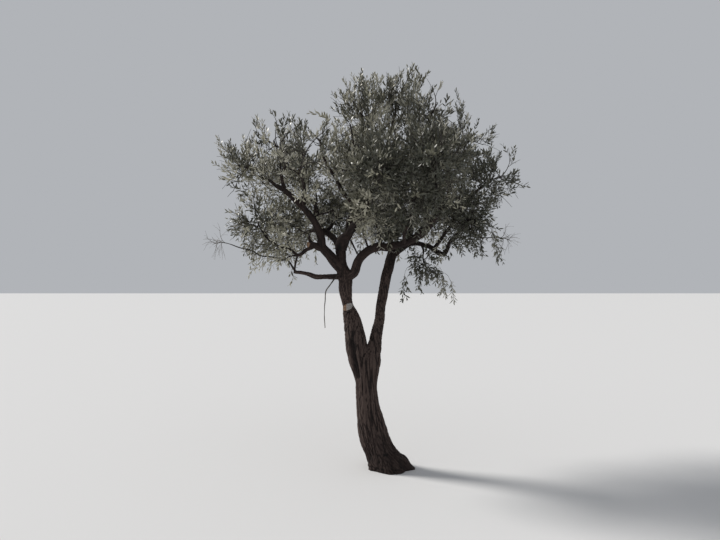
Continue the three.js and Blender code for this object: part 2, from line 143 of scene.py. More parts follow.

# Boughs that end in a mass of foliage: space is the radius of the ball that the mass keeps to,
# fullness is how many shoots stand in it against an even mass, painted light is how much paler than
# the rest its leaves are painted, as light on the masses at the left and top of the crown, and below 0
# darker, as shade on those to the right and low in front, weeping is its count of long hanging twigs,
# and sprigs are the tips of its tall sprigs. A bough with no fullness is dead, and ends in bare twigs.
BOUGHS = (
    dict(name="top_left", parent="left_stem", at=0.965, goal=(-316, 0, 4699), bow=(110, -110, 0),
         thick=52, thin=20, space=540, fullness=0.6, painted_light=0.3,
         sprigs=((-363, 0, 5215), (-1042, 0, 4696), (-902, 0, 4656)),
         crook=((0, 0, 0), (0.06, -25, 10), (0.11, 12, -5), (0.15, -5, 0), (0.2, -28, 10), (0.25, 5, 0),
                (0.28, 55, -15), (0.31, 80, -20), (0.35, 68, -12), (0.4, 45, -5), (0.45, 8, 0),
                (0.5, -15, 0), (0.6, -30, 5), (0.73, -15, 0), (0.82, -30, 0)),
         swell=((0, 1.25), (0.1, 1.3), (0.18, 1.12), (0.28, 1.02), (0.34, 1.08), (0.45, 0.95), (1, 1))),
    dict(name="left_back", parent="left_stem", at=0.9, goal=(-1362, 1150, 4141), bow=(0, 80, -80),
         thick=50, thin=20, space=600, fullness=0.75, painted_light=0.15,
         crook=((0, 0, 0), (0.2, 35, 25), (0.4, -30, -20), (0.6, 30, 30), (0.8, -15, 0), (1, 0, 0))),
    dict(name="back_centre", parent="left_stem", at=0.93, goal=(-338, 1500, 4327), bow=(60, 60, -120),
         thick=50, thin=21, space=660, fullness=0.95, painted_light=0.05,
         crook=((0, 0, 0), (0.2, -30, 20), (0.42, 35, -25), (0.65, -30, 10), (1, 0, 0))),
    dict(name="far_left", parent="left_bough", at=0.96, goal=(-1855, 0, 3971), bow=(0, -50, 30),
         thick=32, thin=18, space=505, fullness=0.6, painted_light=0.22,
         crook=((0, 0, 0), (0.18, -20, -20), (0.34, -15, -20), (0.53, -30, -45), (0.7, -35, -60),
                (1, 0, -20)),
         swell=((0, 0.85), (1, 0.8))),
    dict(name="left_top", parent="left_bough", at=0.9, goal=(-1497, 100, 4279), bow=(105, -100, 25),
         thick=33, thin=18, space=520, fullness=0.24, painted_light=0.25,
         crook=((0, -30, 0), (0.1, -75, 5), (0.22, -105, 10), (0.38, -105, -10), (0.48, -65, -15),
                (0.61, -15, -5), (0.73, 20, 15), (1, 0, 0)),
         swell=((0, 0.75), (1, 0.8))),
    dict(name="left_low", parent="cut_stub", at=0.8, goal=(-1698, -100, 3170), bow=(0, -60, -190),
         thick=28, thin=17, space=460, fullness=1.0, painted_light=0.25, weeping=3,
         crook=((0, 0, -30), (0.12, 5, -20), (0.21, 10, -48), (0.27, 10, -60), (0.36, 0, -5), (0.45, 5, 25),
                (0.53, 5, 12), (0.67, 0, 0), (0.8, -10, -10), (1, 0, 0)),
         swell=((0, 0.85), (0.25, 0.95), (0.5, 0.75), (1, 0.8))),
    dict(name="left_front", parent="left_bough", at=0.55, goal=(-1041, -750, 3942), bow=(-60, -50, 0),
         thick=30, thin=17, space=440, fullness=0.4, painted_light=0.2,
         crook=((0, 0, 0), (0.25, -20, -15), (0.5, 25, 10), (0.75, -15, 5), (1, 0, 0)),
         swell=((0, 0.8), (1, 0.8))),
    dict(name="left_middle", parent="left_bough", at=0.4, goal=(-1348, 450, 3228), bow=(0, 50, -40),
         thick=30, thin=17, space=440, fullness=1.05, painted_light=0.3, weeping=2,
         crook=((0, 0, 0), (0.25, 15, 25), (0.5, -20, -20), (0.75, 10, 15), (1, 0, 0))),
    dict(name="inner_top", parent="top_left", at=0.35, goal=(-920, 200, 4360), bow=(-60, 0, 0),
         thick=30, thin=17, space=420, fullness=0.4, painted_light=0.3,
         crook=((0, 0, 0), (0.2, -15, 20), (0.45, 25, -15), (0.7, -20, 10), (1, 0, 0))),
    dict(name="top", parent="top_left", at=0.2, goal=(133, 300, 4878), bow=(110, 40, -60),
         thick=40, thin=20, space=570, fullness=0.5, painted_light=0.3,
         sprigs=((420, 300, 5405), (587, 300, 5352)),
         crook=((0, 0, 0), (0.15, 25, -10), (0.3, -25, 15), (0.5, 30, 0), (0.7, -20, 0), (1, 0, 0))),
    dict(name="centre_front", parent="top_left", at=0.13, goal=(-113, -900, 3719), bow=(0, -60, -80),
         thick=38, thin=18, space=520, fullness=1.0, painted_light=0.0, weeping=3,
         crook=((0, 0, 0), (0.2, -20, 15), (0.45, 25, -15), (0.7, -20, 0), (1, 0, 0))),
    dict(name="right_front", parent="arch_bough", at=0.96, goal=(459, -1000, 3779), bow=(40, -40, -60),
         thick=42, thin=18, space=540, fullness=1.15, painted_light=-0.22, weeping=4,
         crook=((0, 0, 0), (0.25, 20, 20), (0.5, -25, -10), (0.75, 15, 0), (1, 0, 0))),
    dict(name="front_low", parent="arch_bough", at=0.5, goal=(252, -750, 3413), bow=(0, -30, -30),
         thick=28, thin=17, space=370, fullness=1.5, painted_light=-0.35, weeping=9,
         crook=((0, 0, 0), (0.3, -15, 15), (0.6, 15, -10), (1, 0, 0))),
    dict(name="centre_low", parent="top_left", at=0.27, goal=(-43, 150, 3265), bow=(10, 20, 35),
         thick=30, thin=17, space=400, fullness=2.1, painted_light=-0.1, weeping=9,
         crook=((0, 10, 10), (0.1, -5, 40), (0.18, -5, 50), (0.34, 0, 12), (0.6, 5, -5), (1, 0, 0))),
    dict(name="top_right", parent="right_bough", at=0.78, goal=(509, -450, 4506), bow=(60, 0, -40),
         thick=38, thin=18, space=485, fullness=0.55, painted_light=-0.22,
         sprigs=((867, -300, 4880),),
         crook=((0, 0, 0), (0.2, -25, 0), (0.4, 30, 10), (0.6, -25, 0), (0.8, 15, 0), (1, 0, 0))),
    dict(name="right_top", parent="right_bough", at=0.96, goal=(1182, 750, 4504), bow=(60, 0, -40),
         thick=34, thin=18, space=520, fullness=0.35, painted_light=-0.32,
         crook=((0, 0, 0), (0.25, 25, 0), (0.5, -30, 15), (0.75, 15, 0), (1, 0, 0))),
    dict(name="right_outer", parent="right_bough", at=0.88, goal=(1365, 0, 3797), bow=(0, 0, -60),
         thick=32, thin=17, space=485, fullness=0.7, painted_light=-0.35, weeping=1,
         crook=((0, 0, 0), (0.25, 10, 25), (0.5, 0, -30), (0.75, 0, 15), (1, 0, 0))),
    dict(name="core", parent="right_stem", at=0.97, goal=(40, 350, 3860), bow=(30, 30, 0),
         thick=44, thin=19, space=540, fullness=1.1, painted_light=-0.15,
         crook=((0, 0, 0), (0.2, -25, 0), (0.45, 30, 0), (0.7, -20, 0), (1, 0, 0))),
    dict(name="back_right", parent="right_bough", at=0.25, goal=(716, 1400, 4305), bow=(0, 60, -150),
         thick=48, thin=21, space=660, fullness=1.0, painted_light=-0.1,
         crook=((0, 0, 0), (0.2, 30, 20), (0.45, -30, -25), (0.7, 25, 0), (1, 0, 0))),
    dict(name="back_low_right", parent="right_bough", at=0.55, goal=(913, 900, 3465), bow=(0, 20, -40),
         thick=28, thin=16, space=460, fullness=1.0, painted_light=-0.2, weeping=2,
         crook=((0, 0, 0), (0.3, 15, 20), (0.6, -20, -10), (1, 0, 0))),
    dict(name="back_low_left", parent="left_back", at=0.4, goal=(-702, 950, 3447), bow=(0, 0, -30),
         thick=28, thin=16, space=460, fullness=1.5, painted_light=0.15, weeping=2,
         crook=((0, 0, 0), (0.3, 20, 15), (0.6, -15, -15), (1, 0, 0))),
    dict(name="right_low", parent="elbow_limb", at=0.95, goal=(1051, -100, 3249), bow=(-10, 0, 5),
         thick=30, thin=17, space=440, fullness=1.1, painted_light=-0.38, weeping=9,
         crook=((0, 0, 0), (0.09, 10, -5), (0.3, -12, 8), (0.55, 10, 0), (1, 0, 0))),
    dict(name="hanging", parent="elbow_limb", at=0.35, goal=(508, 100, 2657), bow=(0, 0, 20),
         thick=18, thin=11, space=270, fullness=1.7, painted_light=-0.3, weeping=9,
         crook=((0, 0, 0), (0.4, 12, 0), (0.7, -10, 0), (1, 0, 0))),
    dict(name="dry_right", parent="right_low", at=0.7, goal=(1536, 0, 3020), bow=(0, 0, 40),
         thick=12, thin=8, space=240, fullness=0,
         crook=((0, 0, 0), (0.3, 0, 20), (0.6, 0, -15), (1, 0, 0)), swell=((0, 0.8), (1, 0.7))),
    dict(name="dry_left", parent="low_left_limb", at=0.96, goal=(-2130, -300, 2940), bow=(0, -40, 60),
         thick=15, thin=9, space=260, fullness=0,
         crook=((0, 0, 0), (0.06, 10, 20), (0.15, 35, 60), (0.22, 25, 45), (0.34, 5, 15), (0.47, -10, -25),
                (0.6, -5, -10), (0.75, -5, -20), (0.89, 0, -5), (1, 0, 0)),
         swell=((0, 1), (0.4, 0.75), (1, 0.7))),
)

# Small branches that show between the boughs: the radius at each end, then the points of each
SMALL_BRANCHES = (
    (13, 12, ((-495, -60, 2990), (-440, -95, 2880), (-405, -130, 2800))),
    (12, 13, ((-430, -100, 3255), (-345, -110, 3175), (-325, -125, 3055), (-290, -140, 2955),
              (-260, -150, 2875))),
    (13, 7, ((-80, -200, 2885), (-110, -175, 3020), (-135, -150, 3110), (-165, -125, 3205),
             (-225, -100, 3290))),
    (14, 8, ((-990, -150, 3245), (-965, -140, 3340), (-955, -125, 3425), (-940, -110, 3550),
             (-965, -100, 3670))),
    (13, 7, ((-985, -150, 3245), (-940, -100, 3310), (-885, -50, 3335), (-820, 0, 3355),
             (-720, 50, 3400))),
    (16, 9, ((-1105, -200, 3385), (-1075, -215, 3495), (-1075, -235, 3585), (-1090, -250, 3710),
             (-1140, -265, 3810), (-1205, -285, 3850), (-1295, -300, 3895))),
    (13, 8, ((-1400, -120, 3840), (-1430, -95, 4045), (-1460, -75, 4155), (-1515, -50, 4320))),
    (17, 9, ((-350, -60, 3650), (-425, -75, 3745), (-450, -85, 3875), (-455, -100, 3995),
             (-455, -110, 4080), (-450, -125, 4170), (-470, -135, 4350), (-500, -150, 4505))),
    (14, 8, ((-355, -60, 3770), (-410, -105, 3855), (-500, -155, 3885), (-605, -200, 3890))),
    (15, 12, ((-1230, -100, 2550), (-1215, -150, 2655), (-1180, -200, 2770))),
    (13, 8, ((-1160, -200, 2775), (-1275, -215, 2765), (-1350, -235, 2715), (-1435, -250, 2705))),
    (12, 7, ((-155, 30, 3285), (-75, 50, 3325), (-25, 65, 3415), (35, 80, 3460), (130, 100, 3530))),
    (30, 9, ((-980, -160, 2910), (-1020, -170, 2975), (-1035, -180, 3055))),
    (27, 15, ((630, 100, 2885), (705, 70, 2985), (770, 40, 3085), (820, 10, 3155), (855, -20, 3230),
              (890, -50, 3375))),
)
# A dead twig that hangs from the left stem, in the same way
HANGING_TWIG = (9, 3.5, ((-660, -80, 2540), (-700, -100, 2485), (-765, -110, 2390), (-810, -115, 2330),
                         (-825, -125, 2200), (-835, -130, 2015), (-825, -140, 1835)))

# As in the source: the points on a limb's curve, the length of a straight piece of a limb, the share
# of its mass's ball where a bough's solid stops, and the middle of the crown
CURVE_SHARES = 60
LIMB_STEP = 235
BOUGH_ENTRY = 0.6
CROWN_MIDDLE = (-280, 150, 3830)

# How far along a limb, in millimetres, its line still follows its parent's crook
FOOT_FADE = 260
# How far limbs and small branches wander within their own wood, as a share of their radius
LIMB_WANDER = 0.16
BRANCH_WANDER = 0.35
# How much thicker a limb is where it leaves its parent, and over how many of its thicknesses
COLLAR = 0.2
COLLAR_RUN = 1.8
# How strongly a bough keeps its own way in its mass, against the way out of the crown, and how far its
# line runs on past the middle, against the ball's radius and against the way to the nearest wall
OWN_WAY = 0.5
STEM_LEAD = 0.42
STEM_SHARE = 0.6

# Where the photograph's camera stands, in metres, and its sensor's width in millimetres
CAMERA_PLACE = (-0.37, -7.2, 2.42)
SENSOR_WIDTH = 36
# Gaps that show sky from there: the right, up and radius of each where it crosses the plane y = 0
SKY_GAPS = (
    (760, 4875, 150), (1245, 4545, 150), (-995, 4215, 105), (1560, 3965, 105), (-955, 4550, 115),
    (-1515, 4285, 90), (510, 4990, 80), (1455, 3005, 115), (840, 4605, 70),
    (-1845, 3325, 80), (-2127, 4616, 250),
)
# Gaps in front of the arched limb, which stays in view through them: the same, and how far back each
# of them goes
WOOD_GAPS = ((149, 2926, 75, -150), (335, 3019, 80, -220), (482, 3099, 80, -280), (575, 3245, 70, -350))

# How far shoots mingle across the wall between two masses, in metres
MINGLING = 0.09
# How much further than its ball a mass may reach in towards the crown's middle, and how much further
# sideways where it stands this far in front of the trunk or behind it, in metres
INWARD_SPREAD = 0.34
SIDE_SPREAD = 0.2
WELL_OFF = 0.6

# The left stem's pale wound, in metres: where its sawn and its weathered part meet, the height of its
# middle, its half width and height, how much it climbs as it goes right, the stem's radius there, and
# the degrees that it faces right of the front
WOUND = dict(right=-0.549, up=2.107, half_width=0.07, half_height=0.037, slant=0.42, girth=0.068, turn=-4)
# The rings of the wound and of the stub's sawn end, from the rim in: each one's share of the radius
# and how far it stands out, in metres. All have as many sides. The end's radius is a share of the
# stub's.
CUT_SIDES = 40
STUB_SHARE = 0.95
WOUND_RINGS = (
    (1.12, -0.02), (1.1, 0.0), (1.04, 0.009), (0.95, 0.012), (0.84, 0.006), (0.7, 0.003), (0.5, 0.004),
    (0.25, 0.004),
)
STUB_RINGS = (
    (0.9, -0.03), (1.06, -0.006), (1.08, 0.004), (0.98, 0.009), (0.86, 0.004), (0.6, 0.001), (0.3, 0.003),
)

# Leaves go into one piece for each of these parts of the crown
LEAF_PARTS = {
    "leaves_left": ("far_left", "left_top", "left_low", "left_front", "left_middle"),
    "leaves_top": ("top_left", "inner_top", "top", "top_right"),
    "leaves_right": ("right_top", "right_outer", "right_low", "hanging"),
    "leaves_front": ("centre_front", "right_front", "front_low", "core", "centre_low"),
    "leaves_back": ("left_back", "back_centre", "back_low_left"),
    "leaves_back_right": ("back_right", "back_low_right"),
}


def length_of(name, description, default, least):
    """A setting in metres."""
    return bpy.props.FloatProperty(
        name=name, description=description, default=default, min=least, unit="LENGTH")


def colour_of(name, description, *colour):
    """A setting for a colour."""
    return bpy.props.FloatVectorProperty(
        name=name, description=description, default=(*colour, 1.0), min=0.0, max=1.0, size=4,
        subtype="COLOR")


class WoodSettings(bpy.types.PropertyGroup):
    """Sizes and colours of the trunk, limbs and boughs"""

    skin_cell: length_of("Skin cell", "Size of the cells that fuse the limbs into one skin", 0.0084, 0.005)
    ridge_depth: length_of("Ridge depth", "How far the bark's ridges stand out on the trunk", 0.015, 0.0)
    lobe_depth: bpy.props.FloatProperty(
        name="Lobe depth", default=0.12, min=0.0,
        description="Depth of the broad hollows that run up the wood, as a share of its radius")
    bough_ring: length_of("Bough ring", "Distance between the rings of a bough's skin", 0.02, 0.005)
    furrow_colour: colour_of("Furrows", "Colour deep in the bark", 0.011, 0.009, 0.0085)
    russet_colour: colour_of("Bark", "Colour of the bark halfway up its ridges", 0.032, 0.0222, 0.0197)
    ridge_colour: colour_of("Ridges", "Colour of the tops of the bark's ridges", 0.074, 0.053, 0.0455)
    dead_colour: colour_of("Dead wood", "Colour of bare dead wood", 0.13, 0.112, 0.095)
    sawn_colour: colour_of("Sawn wood", "Colour of wood where a branch was sawn off", 0.30, 0.195, 0.13)
    weathered_colour: colour_of(
        "Weathered wood", "Colour of sawn wood that has gone grey", 0.36, 0.34, 0.32)


class FoliageSettings(bpy.types.PropertyGroup):
    """Sizes, counts and colours of the twigs and leaves"""

    main_twigs: bpy.props.IntProperty(
        name="Main twigs", default=13, min=3,
        description="Main twigs in a mass of foliage that is a metre wide")
    side_gap: length_of(
        "Side twig gap", "Distance that side twigs keep where the fullness is 1", 0.112, 0.05)
    shoot_gap: length_of("Shoot gap", "Distance between the shoots on a side twig", 0.038, 0.01)
    leaf_gap: length_of("Leaf gap", "Distance between two pairs of leaves on a shoot", 0.036, 0.005)
    leaf_length: length_of("Leaf length", "Length of a full-grown leaf", 0.08, 0.01)
    leaf_width: length_of("Leaf width", "Width of a full-grown leaf", 0.024, 0.002)
    # The leaves' upper sides are one colour in painted sunlight, plain, and in painted shade
    sunny_colour: colour_of("Leaves, sunny", "Upper side of the palest leaves", 0.385, 0.37, 0.285)
    middle_colour: colour_of("Leaves", "Upper side of most leaves", 0.155, 0.15, 0.107)
    shady_colour: colour_of("Leaves, shady", "Upper side of the darkest leaves", 0.056, 0.058, 0.041)
    silver_colour: colour_of("Undersides, silver", "Underside of the palest leaves", 0.45, 0.435, 0.365)
    # The second underside colour is the silver one in painted shade
    shaded_underside_colour: colour_of("Undersides, dull", "Underside of the duller leaves", 0.13, 0.127, 0.094)
    twig_colour: colour_of("Twigs", "Colour of the living twigs", 0.05, 0.044, 0.038)


class StageSettings(bpy.types.PropertyGroup):
    """The floor, the lights and the camera"""

    floor_colour: colour_of("Floor", "Colour of the plain floor", 0.62, 0.62, 0.62)
    sky_colour: colour_of("Surroundings", "Colour of the light from all round", 0.88, 0.91, 0.96)
    sky_power: bpy.props.FloatProperty(
        name="Surroundings' power", description="Strength of the light from all round", default=0.5,
        min=0.0)
    key_colour: colour_of("Key light's colour", "Colour of the soft key light", 1.0, 0.97, 0.93)
    key_power: bpy.props.FloatProperty(
        name="Key light", description="Strength of the soft key light from the upper left", default=3.6,
        min=0.0)
    key_softness: bpy.props.FloatProperty(
        name="Key softness", description="How wide the key light looks from the tree",
        default=math.radians(12), min=0.0, subtype="ANGLE")
    key_heading: bpy.props.FloatVectorProperty(
        name="Key heading", description="The way that the key light shines", default=(0.74, -0.26, -0.62),
        size=3, subtype="DIRECTION")
    camera_place: bpy.props.FloatVectorProperty(
        name="Camera", description="Where the camera stands", default=CAMERA_PLACE, size=3, subtype="XYZ",
        unit="LENGTH")
    camera_pitch: bpy.props.FloatProperty(
        name="Camera pitch", description="How far the camera looks up", default=math.radians(1.38),
        subtype="ANGLE")
    camera_lens: bpy.props.FloatProperty(
        name="Lens", default=27.05, min=1.0,
        description=f"Focal length on a {SENSOR_WIDTH} mm wide sensor, in millimetres")


# Lines, frames and skins

def row_of(name):
    """The row of a limb, by its name."""
    return next(row for row in LIMBS + BOUGHS if row["name"] == name)


def unit(vectors):
    """Vectors of the same directions, one long."""
    return vectors / (np.linalg.norm(vectors, axis=-1)[..., None] + 1e-12)


def smooth_step(value, low, high):
    """0 below low, 1 above high, and a smooth rise between."""
    t = np.clip((value - low) / (high - low), 0, 1)
    return t * t * (3 - 2 * t)


def led_through(places, where, values):
    """A smooth curve through these values, read at these places."""
    where, values = np.array(where, float), np.array(values, float)
    slope = np.gradient(values, where)
    k = np.clip(np.searchsorted(where, places, side="right") - 1, 0, len(where) - 2)
    span = where[k + 1] - where[k]
    t = np.clip((places - where[k]) / span, 0, 1)
    bend = (t ** 3 - 2 * t ** 2 + t) * slope[k] + (t ** 3 - t ** 2) * slope[k + 1]
    return values[k] + (values[k + 1] - values[k]) * (3 * t ** 2 - 2 * t ** 3) + bend * span


def run_along(points):
    """The way along a line of points to each of them."""
    return np.concatenate([[0], np.cumsum(np.linalg.norm(np.diff(points, axis=0), axis=1))])


def drawn_through(points, spacing):
    """A smooth line through these points in millimetres, in even steps of metres, and its shares."""
    points = np.array(points, float) * MM
    run = run_along(points)
    places = np.linspace(0, run[-1], max(5, int(run[-1] / spacing)))
    line = np.stack([led_through(places, run, points[:, axis]) for axis in range(3)], axis=1)
    return line, places / run[-1]


def bowed_points(row, start, shares):
    """Points of a limb's bowed line at these shares of it, in millimetres, as the source gives them."""
    goal = np.array(row["goal"], float)
    bow = np.array(row["bow"], float) * 4 / 3
    first = start + (goal - start) / 3 + bow
    second = start + (goal - start) * 2 / 3 + bow
    t = np.asarray(shares, float)[:, None]
    return (start * (1 - t) ** 3 + 3 * first * (1 - t) ** 2 * t
            + 3 * second * (1 - t) * t ** 2 + goal * t ** 3)


def point_along(points, share):
    """The point at a share of a line of points, counted by its steps."""
    spot = share * (len(points) - 1)
    k = min(int(spot), len(points) - 2)
    return points[k] + (points[k + 1] - points[k]) * (spot - k)


def lay_out_limbs():
    """The line of every limb: its start, the share of its run that is bough, and its coarse points."""
    lines = {}
    for row in LIMBS + BOUGHS:
        if "start" in row:
            start = np.array(row["start"], float)
        else:
            start = point_along(lines[row["parent"]]["points"], row["at"])
        goal = np.array(row["goal"], float)
        fine = bowed_points(row, start, np.arange(CURVE_SHARES + 1) / CURVE_SHARES)
        last = CURVE_SHARES
        if "space" in row:
            while np.linalg.norm(fine[last] - goal) < BOUGH_ENTRY * row["space"]:
                last -= 1
        run = np.linalg.norm(goal - start) * last / CURVE_SHARES
        steps = max(3, int(run / LIMB_STEP + 0.5))
        coarse = [point_along(fine, i / steps * last / CURVE_SHARES) for i in range(steps + 1)]
        lines[row["name"]] = {
            "start": start, "end_share": last / CURVE_SHARES, "points": np.array(coarse), "run": run}
    return lines


LINES = lay_out_limbs()


def crook_at(row, shares):
    """How far a limb is led off the source's line at these shares of it, in millimetres."""
    where, right, up = np.array(row.get("crook", ((0, 0, 0), (1, 0, 0))), float).T
    right, up = led_through(shares, where, right), led_through(shares, where, up)
    return np.stack([right, np.zeros(len(right)), up], axis=1)


def led_line(row, shares):
    """Points of a limb's line in metres. Its foot goes along with its parent's crook."""
    shares = np.asarray(shares, float)
    line = LINES[row["name"]]
    points = bowed_points(row, line["start"], shares) + crook_at(row, shares)
    if "parent" in row:
        parent = row_of(row["parent"])
        moved = crook_at(parent, np.array([row["at"] * LINES[row["parent"]]["end_share"]]))
        fade = min(0.9, FOOT_FADE / line["run"] * line["end_share"])
        points = points + moved * (1 - smooth_step(shares, 0, fade))[:, None]
    return points * MM


def root_flare(height):
    """The trunk's radius at a height without its roots and swellings, in millimetres."""
    return TRUNK["radius"] + TRUNK["flare"] * np.exp(-height / TRUNK["flare_height"])


def fork_widening(height):
    """How much wider the trunk grows towards its fork, in millimetres."""
    return TRUNK["widening"] * smooth_step(height, TRUNK["fork_start"], TRUNK["height"])


def trunk_axis(height):
    """Points of the trunk's middle line at these heights, in millimetres."""
    height = np.asarray(height, float)
    x = -TRUNK["lean"] * (1 - np.exp(-np.maximum(height, 0) / TRUNK["lean_height"]))
    return np.stack([x, np.zeros_like(height), height], axis=-1)


def bulge(side, heading, breadth):
    """1 at a heading in degrees, and less away from it, for sides in radians."""
    turn = math.radians(heading) - side
    off = np.degrees(np.arctan2(np.sin(turn), np.cos(turn))) / breadth
    return np.exp(-off * off)


def trunk_radius(side, height):
    """The trunk's half widths along X and along Y, towards a side in radians at a height."""
    low = np.maximum(height, 0)
    radius = root_flare(low)
    for heading, reach, breadth in ROOTS:
        radius = radius + reach * bulge(side, heading, breadth) * np.exp(-low / TRUNK["root_height"])
    for heading, middle, reach, breadth, half_height in SWELLINGS:
        swelling = np.exp(-((low - middle) / half_height) ** 2)
        radius = radius + reach * bulge(side, heading, breadth) * swelling
    fork = fork_widening(low)
    return radius + fork, radius + TRUNK["fork_depth"] * fork


def carried_frames(points):
    """Directions along and across a line of points, carried along it without twist."""
    along = unit(np.gradient(points, axis=0))
    across = np.zeros_like(points)
    guide = np.array([0.0, 0.0, 1.0]) if abs(along[0, 2]) < 0.9 else np.array([1.0, 0.0, 0.0])
    for i, direction in enumerate(along):
        guide = unit(guide - direction * guide.dot(direction))
        across[i] = guide
    return along, across, np.cross(along, across)


def wander(points, radii, reach, seed):
    """A limb's line, crooked a little within its own wood, and true at its two ends."""
    wave, true_end = 0.19, 0.12
    # Each axis and each limb has a part of the noise to itself
    axis_shift, limb_shift = 7.3, 3.7
    run = run_along(points)
    ends = np.minimum(smooth_step(run, 0, true_end), smooth_step(run[-1] - run, 0, true_end))
    out = points.copy()
    for axis in range(3):
        waves = [noise.noise((s / wave, axis * axis_shift, seed * limb_shift)) for s in run]
        out[:, axis] += np.array(waves) * ends * reach * radii
    return out


def limb_line(row, spacing=0.022, rooted=False):
    """A limb's points and radii in metres, up to its foliage, and from its root where it is rooted."""
    line = LINES[row["name"]]
    steps = max(6, int(line["run"] * MM / spacing))
    shares = np.linspace(0, 1, steps + 1)
    points = led_line(row, shares * line["end_share"])
    radii = (row["thick"] + (row["thin"] - row["thick"]) * shares) * MM
    if "swell" in row:
        where, factor = zip(*row["swell"])
        radii = radii * led_through(shares, where, factor)
    if "parent" in row:
        radii = radii * (1 + COLLAR * np.exp(-shares * line["run"] / (COLLAR_RUN * row["thick"])))
    points = wander(points, radii, LIMB_WANDER, len(row["name"]) + row["thick"])
    if rooted and "root" in row:
        root = np.array(row["root"], float) * MM
        points, radii = np.vstack([root[:, :3], points]), np.concatenate([root[:, 3], radii])
    return points, radii


def mass_stem(row, space):
    """The bough's line on through its mass, at four points, and the way that it leads."""
    goal = np.array(row["goal"], float) * MM
    end_share = LINES[row["name"]]["end_share"]
    points = led_line(row, np.array([end_share, (end_share + 1) / 2, 1.0]))
    lead = unit(unit(goal - points[0]) * OWN_WAY + unit(goal - np.array(CROWN_MIDDLE) * MM))
    reach = min(STEM_LEAD * space.radius, STEM_SHARE * space.reach(points[2][None], lead[None])[0])
    return np.vstack([points, points[2] + lead * reach]), lead


def round_angles(sides):
    """Angles of the points of a ring."""
    return np.arange(sides) * 2 * math.pi / sides


def ring_ways(across, over, sides):
    """The ways out from the middle of rings that lie in these pairs of directions."""
    turn = round_angles(sides)
    return across[:, None] * np.cos(turn)[None, :, None] + over[:, None] * np.sin(turn)[None, :, None]


def skin_rings(points, radii, sides):
    """Vertices and triangles of a closed round skin along a line."""
    _, across, over = carried_frames(points)
    ring = ring_ways(across, over, sides)
    verts = (points[:, None] + ring * np.asarray(radii)[:, None, None]).reshape(-1, 3)
    return close_rings(verts, len(points), sides, points[0], points[-1])


def close_rings(verts, rings, sides, first_hub, last_hub):
    """Triangles between rings of vertices, with a fan over each end."""
    k = np.arange(sides)
    turn = (k + 1) % sides
    faces = []
    for i in range(rings - 1):
        low, high = i * sides, (i + 1) * sides
        faces.append(np.stack([low + k, low + turn, high + turn], axis=1))
        faces.append(np.stack([low + k, high + turn, high + k], axis=1))
    hub = rings * sides
    top = (rings - 1) * sides
    faces.append(np.stack([np.full(sides, hub), turn, k], axis=1))
    faces.append(np.stack([np.full(sides, hub + 1), top + k, top + turn], axis=1))
    return np.vstack([verts, first_hub, last_hub]), np.vstack(faces)


def join_shells(shells):
    """Several (vertices, triangles) as one."""
    verts, faces, count = [], [], 0
    for v, f in shells:
        verts.append(v)
        faces.append(f + count)
        count += len(v)
    return np.vstack(verts), np.vstack(faces)


def thin_rods(points, radii, sides):
    """Closed rods for arrays of lines: points is (rods, steps, 3), and radii is (rods, steps)."""
    rods, steps, _ = points.shape
    along = unit(points[:, -1] - points[:, 0])
    guide = np.where(np.abs(along[:, 2:]) < 0.9, [[0.0, 0.0, 1.0]], [[1.0, 0.0, 0.0]])
    across = unit(np.cross(along, guide))
    ring = ring_ways(across, np.cross(along, across), sides)
    verts = points[:, :, None] + ring[:, None] * radii[:, :, None, None]
    faces = []
    for i in range(steps - 1):
        for k in range(sides):
            a, b = i * sides + k, i * sides + (k + 1) % sides
            faces += [(a, b, b + sides), (a, b + sides, a + sides)]
    last = (steps - 1) * sides
    for k in range(1, sides - 1):
        faces += [(0, k + 1, k), (last, last + k, last + k + 1)]
    offsets = np.arange(rods)[:, None, None] * steps * sides
    return verts.reshape(-1, 3), (np.array(faces)[None] + offsets).reshape(-1, 3)


def add_mesh(name, verts, faces, materials, slots=None, smooth=False):
    """A mesh object from arrays of vertices and triangles."""
    mesh = bpy.data.meshes.new(name)
    mesh.vertices.add(len(verts))
    mesh.vertices.foreach_set("co", np.ascontiguousarray(verts, np.float32).ravel())
    mesh.loops.add(len(faces) * 3)
    mesh.loops.foreach_set("vertex_index", np.ascontiguousarray(faces, np.int32).ravel())
    mesh.polygons.add(len(faces))
    mesh.polygons.foreach_set("loop_start", np.arange(0, len(faces) * 3, 3, dtype=np.int32))
    if slots is not None:
        mesh.polygons.foreach_set("material_index", np.ascontiguousarray(slots, np.int32))
    mesh.polygons.foreach_set("use_smooth", np.full(len(faces), smooth))
    mesh.update(calc_edges=True)
    for material in materials:
        mesh.materials.append(material)
    piece = bpy.data.objects.new(name, mesh)
    bpy.context.scene.collection.objects.link(piece)
    return piece


def pick_only(piece):
    """Selects one object and nothing else."""
    bpy.ops.object.select_all(action="DESELECT")
    piece.select_set(True)
    bpy.context.view_layer.objects.active = piece


# Bark: its relief is read along each limb, so that its ridges run with the wood

STEMS = ("left_stem", "right_stem")
# Vertices are worked through in batches of this many, to spare memory
BATCH = 8000
# The sizes of the bark's parts across, across and along the wood, in metres, for thick wood
LOBE_SIZE = (0.13, 0.13, 0.55)
ROPE_SIZE = (0.04, 0.04, 0.6)
PLATE_SIZE = (0.024, 0.024, 0.2)
GRAIN_SIZE = (0.013, 0.013, 0.035)
# How broad the furrows between ropes and between plates are, as shares of the noise that draws them
ROPE_FURROW = 0.17
PLATE_FURROW = 0.28
# What each adds to the height in the bark, and the height that stays where the wood's skin was
ROPE_HEIGHT = 0.42
PLATE_HEIGHT = 0.5
GRAIN_HEIGHT = 0.2
BARK_LEVEL = 0.45
# The radius of wood whose bark is full grown, how far the depth of thinner and thicker wood's bark
# goes from its depth and by which power, and the finest that the pattern of thin wood gets, as a share
FULL_GROWN = 0.16
DEPTH_LIMITS = (0.12, 1.2)
DEPTH_POWER = 0.8
FINEST = 0.35
